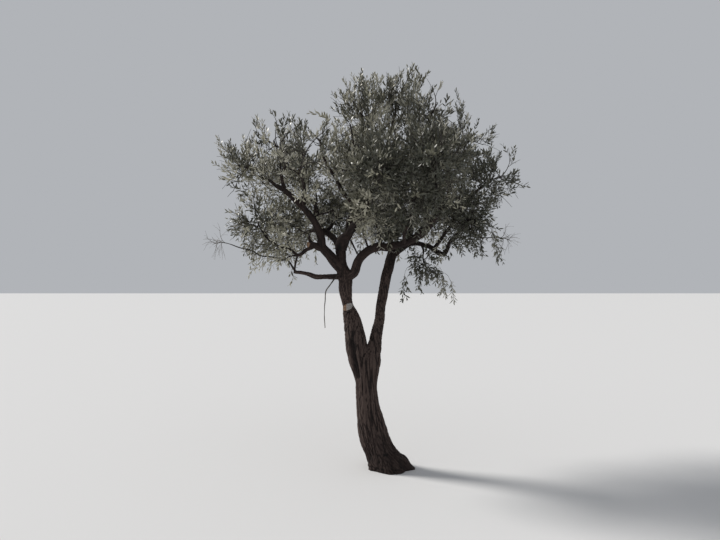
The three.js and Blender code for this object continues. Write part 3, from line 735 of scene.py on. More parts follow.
# Each limb's bark is drawn from a part of the noise to itself, and so is each of the bark's parts. The
# last shift is for the grain in the material.
LIMB_SHIFT = (5.1, 2.3, 7.7)
ROPE_SHIFT = 11
PLATE_SHIFT = 23
GRAIN_SHIFT = 31
PLACE_SHIFT = 0.37
# Painted shade darkens the wood high in the crown and near the ground: by how much, and between which
# heights
CROWN_SHADE = (0.62, 2.2, 2.9)
FOOT_SHADE = (0.45, 0.2, 0.75)


def line_samples(points, radii, index):
    """Places along one line: point, radius, run, index, and the three directions of its frame."""
    along, across, over = carried_frames(points)
    return np.column_stack(
        [points, radii, run_along(points), np.full(len(points), index), along, across, over])


def trunk_samples():
    """Places up the trunk's middle line."""
    height = np.linspace(0, TRUNK["height"], 80)
    mean = root_flare(height) + 0.5 * fork_widening(height)
    return line_samples(trunk_axis(height) * MM, mean * MM, 0)


def wood_samples(lines):
    """Samples of several lines of wood, each a pair of points and radii."""
    return np.vstack([line_samples(points, radii, i + 1) for i, (points, radii) in enumerate(lines)])


def bark_places(verts, samples, joined):
    """For each vertex: its place across and along its limb, that limb's radius, and its number."""
    nearest = np.zeros(len(verts), int)
    for start in range(0, len(verts), BATCH):
        part = verts[start:start + BATCH]
        gap = np.linalg.norm(part[:, None] - samples[None, :, :3], axis=2) - samples[None, :, 3]
        nearest[start:start + BATCH] = gap.argmin(axis=1)
    near = samples[nearest]
    off = verts - near[:, :3]
    along = near[:, 4] + (off * near[:, 6:9]).sum(axis=1)
    across = (off * near[:, 9:12]).sum(axis=1)
    over = (off * near[:, 12:15]).sum(axis=1)
    places, limb = np.stack([across, over, along], axis=1), near[:, 5]
    # The grain runs straight on from the trunk into its two stems
    upright = verts - trunk_axis(verts[:, 2] / MM) * MM * [1, 1, 0]
    shared = (limb < len(STEMS) + 1)[:, None] & joined
    return np.where(shared, upright, places), near[:, 3], np.where(shared[:, 0], 0, limb)


def noise_at(places, scale, shift):
    """Smooth noise at these places, from -1 to 1, after each axis is divided by its scale."""
    spots = places / np.asarray(scale) + shift
    return np.array([noise.noise(spot) for spot in spots])


def in_hollow(verts, foot, top, breadth):
    """1 along the middle of a hollow in the front of the wood, and less away from it."""
    foot, top = np.array(foot) * MM, np.array(top) * MM
    spot = verts[:, [0, 2]]
    share = np.clip((spot - foot) @ (top - foot) / ((top - foot) @ (top - foot)), 0, 1)
    gap = np.linalg.norm(spot - foot - share[:, None] * (top - foot), axis=1)
    floor, rim = HOLLOW_WALL
    return (1 - smooth_step(gap, floor * breadth * MM, rim * breadth * MM)) * (verts[:, 1] < 0)


def bark_relief(verts, places, radius, limb, wood):
    """How far each vertex moves out, and how high it lies in the bark, from 0 to 1, lowered by painted
    shade.
    """
    shift = limb[:, None] * np.array([LIMB_SHIFT])
    size = np.clip(radius / FULL_GROWN, *DEPTH_LIMITS)
    spots = places / np.clip(size, FINEST, 1)[:, None]
    lobes = noise_at(verts, LOBE_SIZE, 0)
    # Deep furrows part the ropes of wood, and finer ones part the plates on them
    ropes = smooth_step(np.abs(noise_at(spots, ROPE_SIZE, shift + ROPE_SHIFT)), 0.0, ROPE_FURROW)
    plates = smooth_step(np.abs(noise_at(spots, PLATE_SIZE, shift + PLATE_SHIFT)), 0.0, PLATE_FURROW)
    grain = noise_at(spots, GRAIN_SIZE, shift + GRAIN_SHIFT)
    height = ropes * (ROPE_HEIGHT + PLATE_HEIGHT * plates) + GRAIN_HEIGHT * grain
    ridges = wood.ridge_depth * size ** DEPTH_POWER * (height - BARK_LEVEL)
    out = wood.lobe_depth * radius * lobes + ridges
    for foot, top, breadth, depth in HOLLOWS:
        inside = in_hollow(verts, foot, top, breadth)
        out -= depth * MM * inside
        # Painted shade: the bark's colour is darkened inside the hollow
        height = height * (1 - HOLLOW_SHADE * inside)
    # Painted shade darkens the bark's colour high in the crown and near the ground
    shade, low, high = CROWN_SHADE
    height = height * (1 - shade * smooth_step(verts[:, 2], low, high))
    shade, low, high = FOOT_SHADE
    height = height * (1 - shade * (1 - smooth_step(verts[:, 2], low, high)))
    return out, np.clip(height, 0, 1)


def read_vertices(mesh, field):
    """A vector that each vertex of a mesh has, as rows of an array."""
    values = np.zeros(len(mesh.vertices) * 3, np.float32)
    mesh.vertices.foreach_get(field, values)
    return values.reshape(-1, 3)


def give_relief(piece, samples, wood, joined=False):
    """Moves a wood piece's skin by its bark, and keeps the bark's height, with its painted shade, and its
    place in attributes.
    """
    mesh = piece.data
    verts, normals = read_vertices(mesh, "co").astype(float), read_vertices(mesh, "normal")
    places, radius, limb = bark_places(verts, samples, joined)
    out, height = bark_relief(verts, places, radius, limb, wood)
    verts += normals * out[:, None]
    mesh.vertices.foreach_set("co", verts.astype(np.float32).ravel())
    kept = mesh.attributes.new("bark_height_and_shade", "FLOAT", "POINT")
    kept.data.foreach_set("value", height.astype(np.float32))
    kept = mesh.attributes.new("bark_place", "FLOAT_VECTOR", "POINT")
    kept.data.foreach_set("vector", (places + limb[:, None] * PLACE_SHIFT).astype(np.float32).ravel())
    mesh.update()


# Materials

def plain_material(name, colour, roughness, specular):
    """One colour all over."""
    material = bpy.data.materials.new(name)
    material.use_nodes = True
    shader = material.node_tree.nodes["Principled BSDF"]
    shader.inputs["Base Color"].default_value = colour
    shader.inputs["Roughness"].default_value = roughness
    shader.inputs["Specular IOR Level"].default_value = specular
    material.diffuse_color = colour
    return material


def grain_nodes(nodes, links, vector, stretch, scale, detail):
    """A noise that is drawn out along the wood."""
    place = nodes.new("ShaderNodeMapping")
    place.inputs["Scale"].default_value = (1.0, 1.0, stretch)
    grain = nodes.new("ShaderNodeTexNoise")
    grain.inputs["Scale"].default_value = scale
    grain.inputs["Detail"].default_value = detail
    links.new(vector, place.inputs["Vector"])
    links.new(place.outputs["Vector"], grain.inputs["Vector"])
    return grain.outputs["Fac"]


def worked_out(nodes, links, operation, *parts):
    """What a maths node makes of these parts, each a number or another node's output."""
    maths = nodes.new("ShaderNodeMath")
    maths.operation = operation
    for socket, part in zip(maths.inputs, parts):
        if isinstance(part, float):
            socket.default_value = part
        else:
            links.new(part, socket)
    return maths.outputs["Value"]


def ramp_colours(nodes, links, value, steps):
    """Gives the shader its colour from a value, by these steps of (value, colour)."""
    ramp = nodes.new("ShaderNodeValToRGB")
    elements = ramp.color_ramp.elements
    for k, (place, colour) in enumerate(steps):
        element = elements[k] if k < len(elements) else elements.new(place)
        element.position = place
        element.color = colour
    links.new(value, ramp.inputs["Fac"])
    links.new(ramp.outputs["Color"], nodes["Principled BSDF"].inputs["Base Color"])


def halved(colour):
    """A colour half as bright."""
    return [0.5 * part for part in colour[:3]] + [1.0]


def sawn_material(name, colour):
    """Bare wood, mottled with darker stains and fine streaks."""
    material = plain_material(name, colour, roughness=0.85, specular=0.2)
    nodes, links = material.node_tree.nodes, material.node_tree.links
    place = nodes.new("ShaderNodeTexCoord")
    stains = grain_nodes(nodes, links, place.outputs["Object"], stretch=3.0, scale=40.0, detail=6.0)
    ramp_colours(nodes, links, stains, ((0.36, halved(colour)), (0.56, colour)))
    return material


def bark_material(name, furrow, body, ridge):
    """Bark, dark in its furrows and paler on its ridges, with a fine grain along the wood, and darker by
    the painted shade in its height.
    """
    material = plain_material(name, body, roughness=0.9, specular=0.2)
    nodes, links = material.node_tree.nodes, material.node_tree.links
    height = nodes.new("ShaderNodeAttribute")
    height.attribute_name = "bark_height_and_shade"
    place = nodes.new("ShaderNodeAttribute")
    place.attribute_name = "bark_place"
    patches = grain_nodes(nodes, links, place.outputs["Vector"], stretch=0.3, scale=16.0, detail=3.0)
    grain = grain_nodes(nodes, links, place.outputs["Vector"], stretch=0.22, scale=110.0, detail=5.0)
    # The height in the bark, with its painted shade, uneven by patches and by grain, and brought back to
    # about 1 at the most
    mixed = worked_out(nodes, links, "MULTIPLY_ADD", patches, 0.6, height.outputs["Fac"])
    mixed = worked_out(nodes, links, "MULTIPLY_ADD", grain, 0.6, mixed)
    mixed = worked_out(nodes, links, "MULTIPLY", mixed, 0.62)
    ramp_colours(nodes, links, mixed, ((0.36, furrow), (0.60, body), (0.86, ridge)))
    bump = nodes.new("ShaderNodeBump")
    bump.inputs["Strength"].default_value = 0.6
    bump.inputs["Distance"].default_value = 0.005
    links.new(grain, bump.inputs["Height"])
    links.new(bump.outputs["Normal"], nodes["Principled BSDF"].inputs["Normal"])
    return material


# Foliage: the source's rule, carried on to finer twigs

# Lengths here are in metres and angles in degrees. A pair of numbers is the least that something is
# and how much more it may be.

# The first mass's seed and the step to the next one's, how far on from it each kind of part has its
# own, and the seed of the order in which side twigs are thinned
FIRST_SEED = 11
SEED_STEP = 7
SHOOT_SEED = 200
WEEPING_SEED = 400
LEAF_SEED = 900
THINNING_SEED = 5

# A mass's uneven outline: its level against the ball, the scale and the reach of its dips, and how far
# on from the last mass's each mass's dips are drawn in the noise
OUTLINE_LEVEL = 0.89
BROAD_DIPS = (1.7, 0.38)
FINE_DIPS = (4.6, 0.24)
OUTLINE_SHIFT = 3.1

# How far forward along its stem the first main twig faces, with 1 for straight on, and how much less
# far the last one does, on a leafy mass and on a bare one
FOREMOST = 0.85
FACING_SPAN = 1.7
BARE_FACING_SPAN = 0.9
# The shares of the stem where main twigs stand, and of the way to the wall that they reach
STEM_PART = (0.15, 0.7)
MAIN_REACH = (0.5, 0.35)
LEAST_MAINS = 7
BARE_MAINS = 6
# A main twig that would end in a gap is cut back to this share
CUT_BACK = 0.45

# Side twigs that could stand on a main twig, the shares of it where they do, and how far each may be
# shifted against the gap between two
SIDE_PLACES = 15
BARE_SIDE_PLACES = 3
SIDE_PART = (0.15, 0.82)
SIDE_SHIFT = 0.7
# Their angle off the main twig and how much of it each has, the most that the first is turned round it,
# and how much more each next main twig's are, in radians, and their lengths in a mass a metre wide
SIDE_ANGLE = 50
SIDE_ANGLE_SHARE = (0.75, 0.5)
FIRST_TURN = 6
MAIN_TURN = 1.7
SIDE_LENGTH = (0.15, 0.2)
SHORTEST_SIDE = 0.06
# The length of the one that carries a main twig on
TIP_SIDE_LENGTH = (0.12, 0.14)
# The share of the way to the wall that any may reach, and the distance that bare ones keep
SIDE_REACH = 0.92
BARE_SIDE_GAP = 0.05
# The same for side twigs on the bough itself, and the share of the bough below the first of them
BOUGH_FOOT_SHARE = 0.4
BOUGH_SIDE_ANGLE = 55
BOUGH_SIDE_LENGTH = (0.16, 0.24)

# Shoots on a side twig, and the same for them as for side twigs
FEWEST_SHOOTS = 3
MOST_SHOOTS = 8
BARE_SHOOTS = 2
SHOOT_PART = (0.1, 0.85)
SHOOT_SHIFT = 0.6
SHOOT_ANGLE = 40
SHOOT_ANGLE_SHARE = (0.7, 0.6)
SIDE_TURN = 2.1
SHOOT_LENGTH = (0.07, 0.12)
# The share of its angle that the shoot at the tip keeps
TIP_SHOOT_TURN = 0.25
# Long shoots: their length, the chance of one, and the height above which they stand
LONG_SHOOT_LENGTH = (0.19, 0.13)
LONG_SHOOT_CHANCE = 0.07
LONG_SHOOTS_ABOVE = 3.7
# How far past its ball, as a share, a long or a bare shoot may reach
BALL_MARGIN = 1.03
# The chance that a shoot in a gap stays
GAP_CHANCE = 0.2

# How strongly twigs turn away from the middle of their mass, away from the crown's middle and up, and
# how strongly dead ones droop, against the way that they leave
FROM_MASS = 0.15
SIDE_OUTWARD = 0.2
SHOOT_OUTWARD = 0.12
RISE = 1.1
SHOOT_LIFT = 0.08
SIDE_DROOP = 0.45
SHOOT_DROOP = 0.4
# How far a twig goes on its first way before it bends, as a share of its length
TWIG_BEND = 0.4
# How strongly the crown turns its twigs up at these heights: they stand up at its top, and spread or
# droop low down
RISE_HEIGHTS = (2.3, 2.8, 3.4, 4.0, 5.0)
RISES = (-0.75, -0.35, 0.12, 0.5, 0.8)

# A tall sprig grows from the side twig whose end is nearest to a place this far below the sprig's tip,
# where height counts for less
SPRIG_HEIGHT = 0.3
HEIGHT_WEIGHT = 0.6

# Sprays are numbered, and each mass's numbers start this far on from the last one's
SPRAY_STEP = 31
# Weeping twigs: how far one goes out and then up before it hangs, how far out and down it ends, all as
# shares of its length but the way up, the shares of it at which its shoots stand, how much they are
# turned along it, in radians, and the number of their first spray
WEEPING_LENGTH = (0.3, 0.28)
WEEPING_BEND = 0.45
WEEPING_LIFT = 0.05
WEEPING_SPREAD = 0.5
WEEPING_FALL = 0.85
WEEPING_SHARES = (0.62, 0.7, 0.78, 0.86, 0.94, 1.0)
WEEPING_TURN = 40
WEEPING_SHOOT_ANGLE = (10, 30)
WEEPING_SHOOT_LENGTH = (0.05, 0.05)
WEEPING_SPRAYS = 1000

# A spray's upper sides are painted paler, as light, the further out it stands, up to a limit, and by a
# share that its number deals it. From each step up they have the next paler colour: painted shade,
# plain, then painted sunlight.
OUT_LIMIT = 0.95
TOP_DEAL = 0.618034
DEALT_PALENESS = 0.6
PALE_STEPS = (0.95, 1.22)
# Its undersides are in painted shade where their own deal is over this, with a half added on a shady spray
UNDER_DEAL = 0.381966
SHADED_ABOVE = 0.6
SHADY_BELOW = 1.0

# Leaves stand in pairs along this share of a shoot, and the first pair is set back from its tip by
# this share of the gap between two
LEAFY_SHARE = 0.9
TIP_SETBACK = 0.1
FEWEST_PAIRS = 2
MOST_PAIRS = 11
# Their angle off the shoot at its tip, how much wider it is at the foot, and how much more it may be
LEAF_ANGLE = 22
LEAF_ANGLE_AT_FOOT = 30
LEAF_ANGLE_CHANGE = 24
# How far a shoot's first pair may be turned round it, and how far each leaf may be turned and rolled
# about itself from side to side, in radians
FIRST_PAIR_TURN = 6.3
LEAF_TURN = 0.6
LEAF_ROLL = 1.1
# How strongly leaves turn up
LEAF_LIFT = 0.12
LEAF_RISE = 0.55
# Their size against a full-grown leaf, and that of the pair at the tip against the others
LEAF_SIZE = (0.7, 0.42)
TIP_LEAF_SIZE = 0.75
# How far a leaf keeps from the wood, at this share of its length
LEAF_MARGIN = 0.008
LEAF_MARGIN_AT = 0.6


def seeded(seed):
    """The source's row of numbers from 0 to 1."""
    state = seed

    def number():
        nonlocal state
        state = (state * 1664525 + 1013904223) % 4294967296
        return state / 4294967296

    return number


def drawn(random, pair, count):
    """Random numbers, of which a pair gives the least and how much more each may be."""
    return pair[0] + pair[1] * random.random_sample(count)


def numbered(counts):
    """For things in rows of these counts: the row that each is in, and its place in that row."""
    index = np.repeat(np.arange(len(counts)), counts)
    first = np.concatenate([[0], np.cumsum(counts)[:-1]])
    return index, np.arange(len(index)) - np.repeat(first, counts)


def is_bare(row):
    """Whether a bough is dead and has no leaves."""
    return row["fullness"] == 0


def crown_outward(points):
    """Away from the crown's middle."""
    return unit(points - np.array(CROWN_MIDDLE) * MM)


class Space:
    """The ball of space that a mass keeps to, with the walls between it and its neighbours."""

    def __init__(self, row, index):
        self.middle = np.array(row["goal"], float) * MM
        self.radius = row["space"] * MM
        self.seed = FIRST_SEED + SEED_STEP * index
        self.first_spray = SPRAY_STEP * index
        self.shift = index * OUTLINE_SHIFT
        self.out = crown_outward(self.middle)
        self.sideways = SIDE_SPREAD if abs(self.middle[1]) > WELL_OFF else 0
        self.away = np.zeros((0, 3))
        self.offset = np.zeros(0)

    def wall_off(self, others):
        """Each wall is the plane where two balls weigh alike, and shoots mingle a little across it."""
        away, offset = [], []
        for other in others:
            apart = np.linalg.norm(other.middle - self.middle)
            if other is self or apart >= other.radius + self.radius:
                continue
            away.append((other.middle - self.middle) / apart)
            offset.append((apart ** 2 + self.radius ** 2 - other.radius ** 2) / (2 * apart))
        self.away = np.array(away).reshape(-1, 3)
        self.offset = np.array(offset) + MINGLING

    def stretch(self, facing):
        """How much further than its ball the mass reaches in towards its neighbours."""
        outward = facing @ self.out
        depth = facing[..., 1] * np.sign(self.middle[1])
        sideways = self.sideways * (1 - outward ** 2) * np.clip(1 - 2 * depth, 0, 1)
        return 1 + INWARD_SPREAD * np.maximum(0, -outward) + sideways

    def ragged(self, points):
        """Which points lie within the mass's uneven outline, which dips in from its ball."""
        off = points - self.middle
        facing = unit(off)
        level = OUTLINE_LEVEL
        for scale, reach in (BROAD_DIPS, FINE_DIPS):
            level = level + reach * np.array([noise.noise(spot) for spot in facing * scale + self.shift])
        return np.linalg.norm(off, axis=-1) < self.radius * self.stretch(facing) * level

    def reach(self, points, directions):
        """How far each point can go in its direction before it leaves the space."""
        off = points - self.middle
        b = (off * directions).sum(axis=-1)
        edge = self.radius * self.stretch(directions)
        far = -b + np.sqrt(np.maximum(0, b * b - (off * off).sum(axis=-1) + edge ** 2))
        speed = directions @ self.away.T
        with np.errstate(divide="ignore", invalid="ignore"):
            wall = np.where(speed > 1e-6, (self.offset - off @ self.away.T) / speed, np.inf)
        return np.maximum(0, np.minimum(far, wall.min(axis=-1, initial=np.inf)))


def make_spaces():
    """The space of every mass, walled off from the others."""
    spaces = [Space(row, i) for i, row in enumerate(BOUGHS)]
    for space in spaces:
        space.wall_off(spaces)
    return spaces


SPACES = make_spaces()


def mass_node(row):
    """The name of a mass's solid."""
    return f"{row['name']}_twigs" if is_bare(row) else f"{row['name']}_foliage"


def turned_off(directions, angles, turns):
    """Directions at these angles off others, turned round them."""
    guide = np.where(np.abs(directions[..., 2:]) < 0.9, [0.0, 0.0, 1.0], [1.0, 0.0, 0.0])
    across = unit(np.cross(guide, directions))
    over = np.cross(directions, across)
    side = across * np.cos(turns)[..., None] + over * np.sin(turns)[..., None]
    return directions * np.cos(angles)[..., None] + side * np.sin(angles)[..., None]


def bent_lines(starts, bends, ends, steps):
    """Lines that leave towards their bends and come round to their ends."""
    t = np.linspace(0, 1, steps + 1)[None, :, None]
    return starts[:, None] * (1 - t) ** 2 + 2 * bends[:, None] * (1 - t) * t + ends[:, None] * t ** 2


def twig_lines(starts, leaving, ends, steps, lift=0.08):
    """Twigs that leave along their parents, bend to their ends and lift a little on the way."""
    span = np.linalg.norm(ends - starts, axis=1)[:, None]
    return bent_lines(starts, starts + leaving * TWIG_BEND * span + UP * lift * span, ends, steps)


def along_lines(lines, index, shares):
    """Points and directions at shares of lines, given each one's index."""
    spot = shares * (lines.shape[1] - 1)
    k = np.minimum(spot.astype(int), lines.shape[1] - 2)
    a, b = lines[index, k], lines[index, k + 1]
    return a + (b - a) * (spot - k)[:, None], unit(b - a)


def rise_at(points):
    """How strongly twigs turn up at these points."""
    return led_through(points[..., 2], RISE_HEIGHTS, RISES)[..., None] * UP


def left_open(points):
    """Which points lie where sky or the arched limb shows, seen from the photograph's camera."""
    scale = CAMERA_PLACE[1] / (CAMERA_PLACE[1] - points[:, 1])
    right = CAMERA_PLACE[0] + (points[:, 0] - CAMERA_PLACE[0]) * scale
    up = CAMERA_PLACE[2] + (points[:, 2] - CAMERA_PLACE[2]) * scale
    gaps = np.array([gap + (math.inf,) for gap in SKY_GAPS] + list(WOOD_GAPS)) * MM
    near = np.hypot(right[:, None] - gaps[:, 0], up[:, None] - gaps[:, 1]) < gaps[:, 2]
    return (near & (points[:, 1, None] < gaps[:, 3])).any(axis=1)


def main_twigs(row, space, random, phase, foliage):
    """A mass's stem, and its main twigs spread evenly round it."""
    bare = is_bare(row)
    stem, lead = mass_stem(row, space)
    goal = stem[2]
    count = BARE_MAINS if bare else max(LEAST_MAINS, round(foliage.main_twigs * 2 * space.radius))
    span = BARE_FACING_SPAN if bare else FACING_SPAN
    forward = FOREMOST - span * np.arange(count) / (count - 1)
    aims = turned_off(
        np.tile(lead, (count, 1)), np.arccos(forward), phase + np.arange(count) * GOLDEN_ANGLE)
    places = STEM_PART[0] + STEM_PART[1] * (forward + FOREMOST) / FACING_SPAN
    starts, leaving = along_lines(stem[None], np.zeros(count, int), places)
    share = drawn(random, MAIN_REACH, count)
    ends = goal + aims * (share * space.reach(np.tile(goal, (count, 1)), aims))[:, None]
    ends = np.where(left_open(ends)[:, None], goal + CUT_BACK * (ends - goal), ends)
    return stem, twig_lines(starts, leaving, ends, 6)


def side_twigs(row, space, random, phase, goal, mains):
    """Feet, directions and lengths of the side twigs that could grow on main twigs."""
    bare = is_bare(row)
    count = len(mains)
    per_main = BARE_SIDE_PLACES if bare else SIDE_PLACES
    index, step = numbered(np.full(count, per_main))
    share = SIDE_PART[0] + SIDE_PART[1] * (step + SIDE_SHIFT * random.random_sample(len(index))) / per_main
    feet, along = along_lines(mains, index, share)
    angle = np.radians(SIDE_ANGLE * drawn(random, SIDE_ANGLE_SHARE, len(index)))
    # Each is turned by the golden angle from the one before it
    direction = turned_off(along, angle, phase + index * MAIN_TURN + step * GOLDEN_ANGLE)
    length = drawn(random, SIDE_LENGTH, len(index)) * math.sqrt(2 * space.radius)
    # One more carries each main twig on
    feet = np.vstack([mains[:, -1], feet])
    direction = np.vstack([unit(mains[:, -1] - mains[:, -2]), direction])
    length = np.concatenate([drawn(random, TIP_SIDE_LENGTH, count), length])
    rise = -SIDE_DROOP * UP if bare else RISE * rise_at(feet)
    direction = unit(direction + FROM_MASS * unit(feet - goal) + SIDE_OUTWARD * crown_outward(feet) + rise)
    return feet, direction, np.minimum(length, SIDE_REACH * space.reach(feet, direction))


def bough_sides(row, random):
    """Feet, directions and lengths of side twigs on the bough, before its mass begins."""
    line, _ = limb_line(row)
    feet = line[int(BOUGH_FOOT_SHARE * len(line)):]
    angle = np.full(len(feet), math.radians(BOUGH_SIDE_ANGLE))
    way = turned_off(unit(np.gradient(feet, axis=0)), angle, np.arange(len(feet)) * GOLDEN_ANGLE)
    way = unit(way + SIDE_OUTWARD * crown_outward(feet) + rise_at(feet))
    return feet, way, drawn(random, BOUGH_SIDE_LENGTH, len(feet))


def grow_mains(row, space, foliage):
    """A mass's main twigs, and the side twigs that could grow on them and on its bough."""
    bare = is_bare(row)
    number = seeded(space.seed)
    random = np.random.RandomState(space.seed)
    stem, mains = main_twigs(row, space, random, number() * 2 * math.pi, foliage)
    feet, direction, length = side_twigs(row, space, random, number() * FIRST_TURN, stem[2], mains)
    inner = np.zeros(len(feet), bool)
    if not bare:
        more = bough_sides(row, random)
        feet, direction = np.vstack([feet, more[0]]), np.vstack([direction, more[1]])
        length = np.concatenate([length, more[2]])
        inner = np.concatenate([inner, np.ones(len(more[0]), bool)])
    # None reach across a gap that is left open
    whole = direction * length[:, None]
    across = left_open(feet + whole) | left_open(feet + whole / 2)
    keep = (length > SHORTEST_SIDE) & (~across | bare)
    feet, direction, length = feet[keep], direction[keep], length[keep]
    sides = twig_lines(feet, direction, feet + direction * length[:, None], 4, lift=0.1)
    return {"stem": stem, "mains": mains, "sides": sides, "inner": inner[keep]}


def spread_out(middles, gaps):
    """Which places stay when each must stand clear of the ones that stay before it."""
    kept = np.zeros((len(middles), 3))
    chosen = np.zeros(len(middles), bool)
    count = 0
    for k in np.random.RandomState(THINNING_SEED).permutation(len(middles)):
        if (np.linalg.norm(kept[:count] - middles[k], axis=1) > gaps[k]).all():
            kept[count] = middles[k]
            chosen[k] = True
            count += 1
    return chosen


def weeping_lines(row, space, growth):
    """Long thin twigs that hang from the low side of a mass."""
    count = row.get("weeping", 0)
    random = np.random.RandomState(space.seed + WEEPING_SEED)
    points = growth["mains"][:, 3:].reshape(-1, 3)
    low = points[points[:, 2].argsort()[:count * 2]]
    starts = low[random.permutation(len(low))[:count]]
    # The nudge gives a way out to any that start right under the middle
    nudge = 0.05
    outward = unit((starts - growth["stem"][2]) * [1, 1, 0] + nudge)
    length = drawn(random, WEEPING_LENGTH, count)[:, None]
    bends = starts + outward * WEEPING_BEND * length + UP * WEEPING_LIFT
    ends = starts + outward * WEEPING_SPREAD * length - UP * WEEPING_FALL * length
    return bent_lines(starts, bends, ends, 6)


def side_shoots(row, space, growth, random, foliage):
    """Leafy shoots along the side twigs, the last of which carries its side twig on."""
    bare = is_bare(row)
    sides = growth["sides"]
    span = np.linalg.norm(sides[:, -1] - sides[:, 0], axis=1)
    counts = np.clip((span / foliage.shoot_gap).astype(int), FEWEST_SHOOTS, MOST_SHOOTS)
    if bare:
        counts = np.full(len(sides), BARE_SHOOTS)
    index, step = numbered(counts)
    last = step == counts[index] - 1
    place = step + SHOOT_SHIFT * random.random_sample(len(index))
    share = np.where(last, 1.0, SHOOT_PART[0] + SHOOT_PART[1] * place / counts[index])
    feet, along = along_lines(sides, index, share)
    angle = np.radians(SHOOT_ANGLE * drawn(random, SHOOT_ANGLE_SHARE, len(index)))
    angle = angle * np.where(last, TIP_SHOOT_TURN, 1)
    direction = turned_off(along, angle, index * SIDE_TURN + step * GOLDEN_ANGLE)
    rise = -SHOOT_DROOP * UP if bare else UP * SHOOT_LIFT + RISE * rise_at(feet)
    direction = unit(direction + SHOOT_OUTWARD * crown_outward(feet) + rise)
    length = drawn(random, SHOOT_LENGTH, len(index))
    # High in the crown, a few reach out of the mass's uneven outline
    long = (random.random_sample(len(index)) < LONG_SHOOT_CHANCE) & (feet[:, 2] > LONG_SHOOTS_ABOVE)
    long &= not bare
    length = np.where(long, drawn(random, LONG_SHOOT_LENGTH, len(index)), length)
    ends = feet + direction * length[:, None]
    within = np.linalg.norm(ends - space.middle, axis=1) < BALL_MARGIN * space.radius
    keep = within if bare else space.ragged(ends) | growth["inner"][index] | (long & within)
    across = left_open(ends) | left_open((feet + ends) / 2)
    keep &= ~across | (random.random_sample(len(index)) < GAP_CHANCE) | bare
    return twig_lines(feet[keep], direction[keep], ends[keep], 2, lift=0.1), index[keep]


def tall_sprigs(tips, sides):
    """Sprigs that stand up out of the crown from the side twigs nearest below their tips."""
    ends, weight = sides[:, -1], [1, 1, HEIGHT_WEIGHT]
    below = [np.linalg.norm((ends - tip + SPRIG_HEIGHT * UP) * weight, axis=1).argmin() for tip in tips]
    return twig_lines(ends[below], np.tile(UP, (len(tips), 1)), tips, 2), below


def weeping_shoots(hanging, random):
    """Shoots on hanging twigs, which are leafy only towards their tips."""
    index = np.repeat(np.arange(len(hanging)), len(WEEPING_SHARES))
    share = np.tile(WEEPING_SHARES, len(hanging))
    feet, along = along_lines(hanging, index, share)
    angle = np.radians(drawn(random, WEEPING_SHOOT_ANGLE, len(index)))
    direction = turned_off(along, angle, index + share * WEEPING_TURN)
    length = drawn(random, WEEPING_SHOOT_LENGTH, (len(index), 1))
    return twig_lines(feet, direction, feet + direction * length, 2), index


def grow_shoots(row, space, growth, foliage):
    """All of a mass's shoots, and the spray that each belongs to."""
    random = np.random.RandomState(space.seed + SHOOT_SEED)
    shoots, spray = side_shoots(row, space, growth, random, foliage)
    tips = np.array(row.get("sprigs", ()), float).reshape(-1, 3) * MM
    if len(tips):
        sprigs, below = tall_sprigs(tips, growth["sides"])
        shoots, spray = np.vstack([shoots, sprigs]), np.concatenate([spray, below])
    growth["spray_middles"] = growth["sides"][spray, 2]
    if row.get("weeping"):
        hanging = growth["hanging"]
        more, index = weeping_shoots(hanging, random)
        shoots, spray = np.vstack([shoots, more]), np.concatenate([spray, WEEPING_SPRAYS + index])
        growth["spray_middles"] = np.vstack([growth["spray_middles"], hanging[index, 4]])
    return shoots, spray


def spray_colours(row, space, growth, spray):
    """Slots of the upper sides and undersides on each shoot: lit and shaded copies of the leaf colours,
    paler as painted light on sprays further out in the mass.
    """
    out = np.linalg.norm(growth["spray_middles"] - space.middle, axis=1) / space.radius
    # Painted light picks each spray's colour: paler further out in its mass, on the masses lit at the left
    # and top, and by a dealt share
    painted_light = np.minimum(out, OUT_LIMIT) + DEALT_PALENESS * (spray * TOP_DEAL % 1) + row.get("painted_light", 0)
    top = len(PALE_STEPS) - np.digitize(painted_light, PALE_STEPS)
    # Undersides in painted shade go on shady sprays, and on others by their deal
    shaded = spray * UNDER_DEAL % 1 + 0.5 * (painted_light < SHADY_BELOW) > SHADED_ABOVE
    return top, len(PALE_STEPS) + 1 + shaded


def leaf_places(shoots, colours, seed, foliage):
    """Feet, directions, upward sides, sizes and colour slots of the leaves on shoots, in pairs."""
    random = np.random.RandomState(seed + LEAF_SEED)
    length = np.linalg.norm(shoots[:, -1] - shoots[:, 0], axis=1)
    pairs = np.clip((LEAFY_SHARE * length / foliage.leaf_gap).astype(int), FEWEST_PAIRS, MOST_PAIRS)
    index, step = numbered(pairs)
    share = 1 - LEAFY_SHARE * (step + TIP_SETBACK) / pairs[index]
    feet, along = along_lines(shoots, index, share)
    turn = random.random_sample(len(shoots))[index] * FIRST_PAIR_TURN + step * math.pi / 2
    out = []
    for half in (0, math.pi):
        swing = LEAF_TURN * (random.random_sample(len(index)) - 0.5)
        angle = LEAF_ANGLE + LEAF_ANGLE_AT_FOOT * (1 - share)
        angle = np.radians(angle + LEAF_ANGLE_CHANGE * random.random_sample(len(index)))
        direction = turned_off(along, angle, turn + half + swing)
        direction = unit(direction + LEAF_LIFT * UP + LEAF_RISE * rise_at(feet))
        above = unit(along - direction * (along * direction).sum(axis=1)[:, None])
        roll = LEAF_ROLL * (random.random_sample(len(index)) - 0.5)
        above = above * np.cos(roll)[:, None] + np.cross(direction, above) * np.sin(roll)[:, None]
        size = drawn(random, LEAF_SIZE, len(index)) * np.where(step == 0, TIP_LEAF_SIZE, 1)
        out.append((feet, direction, above, size, colours[0][index], colours[1][index]))
    return [np.concatenate(column) for column in zip(*out)]


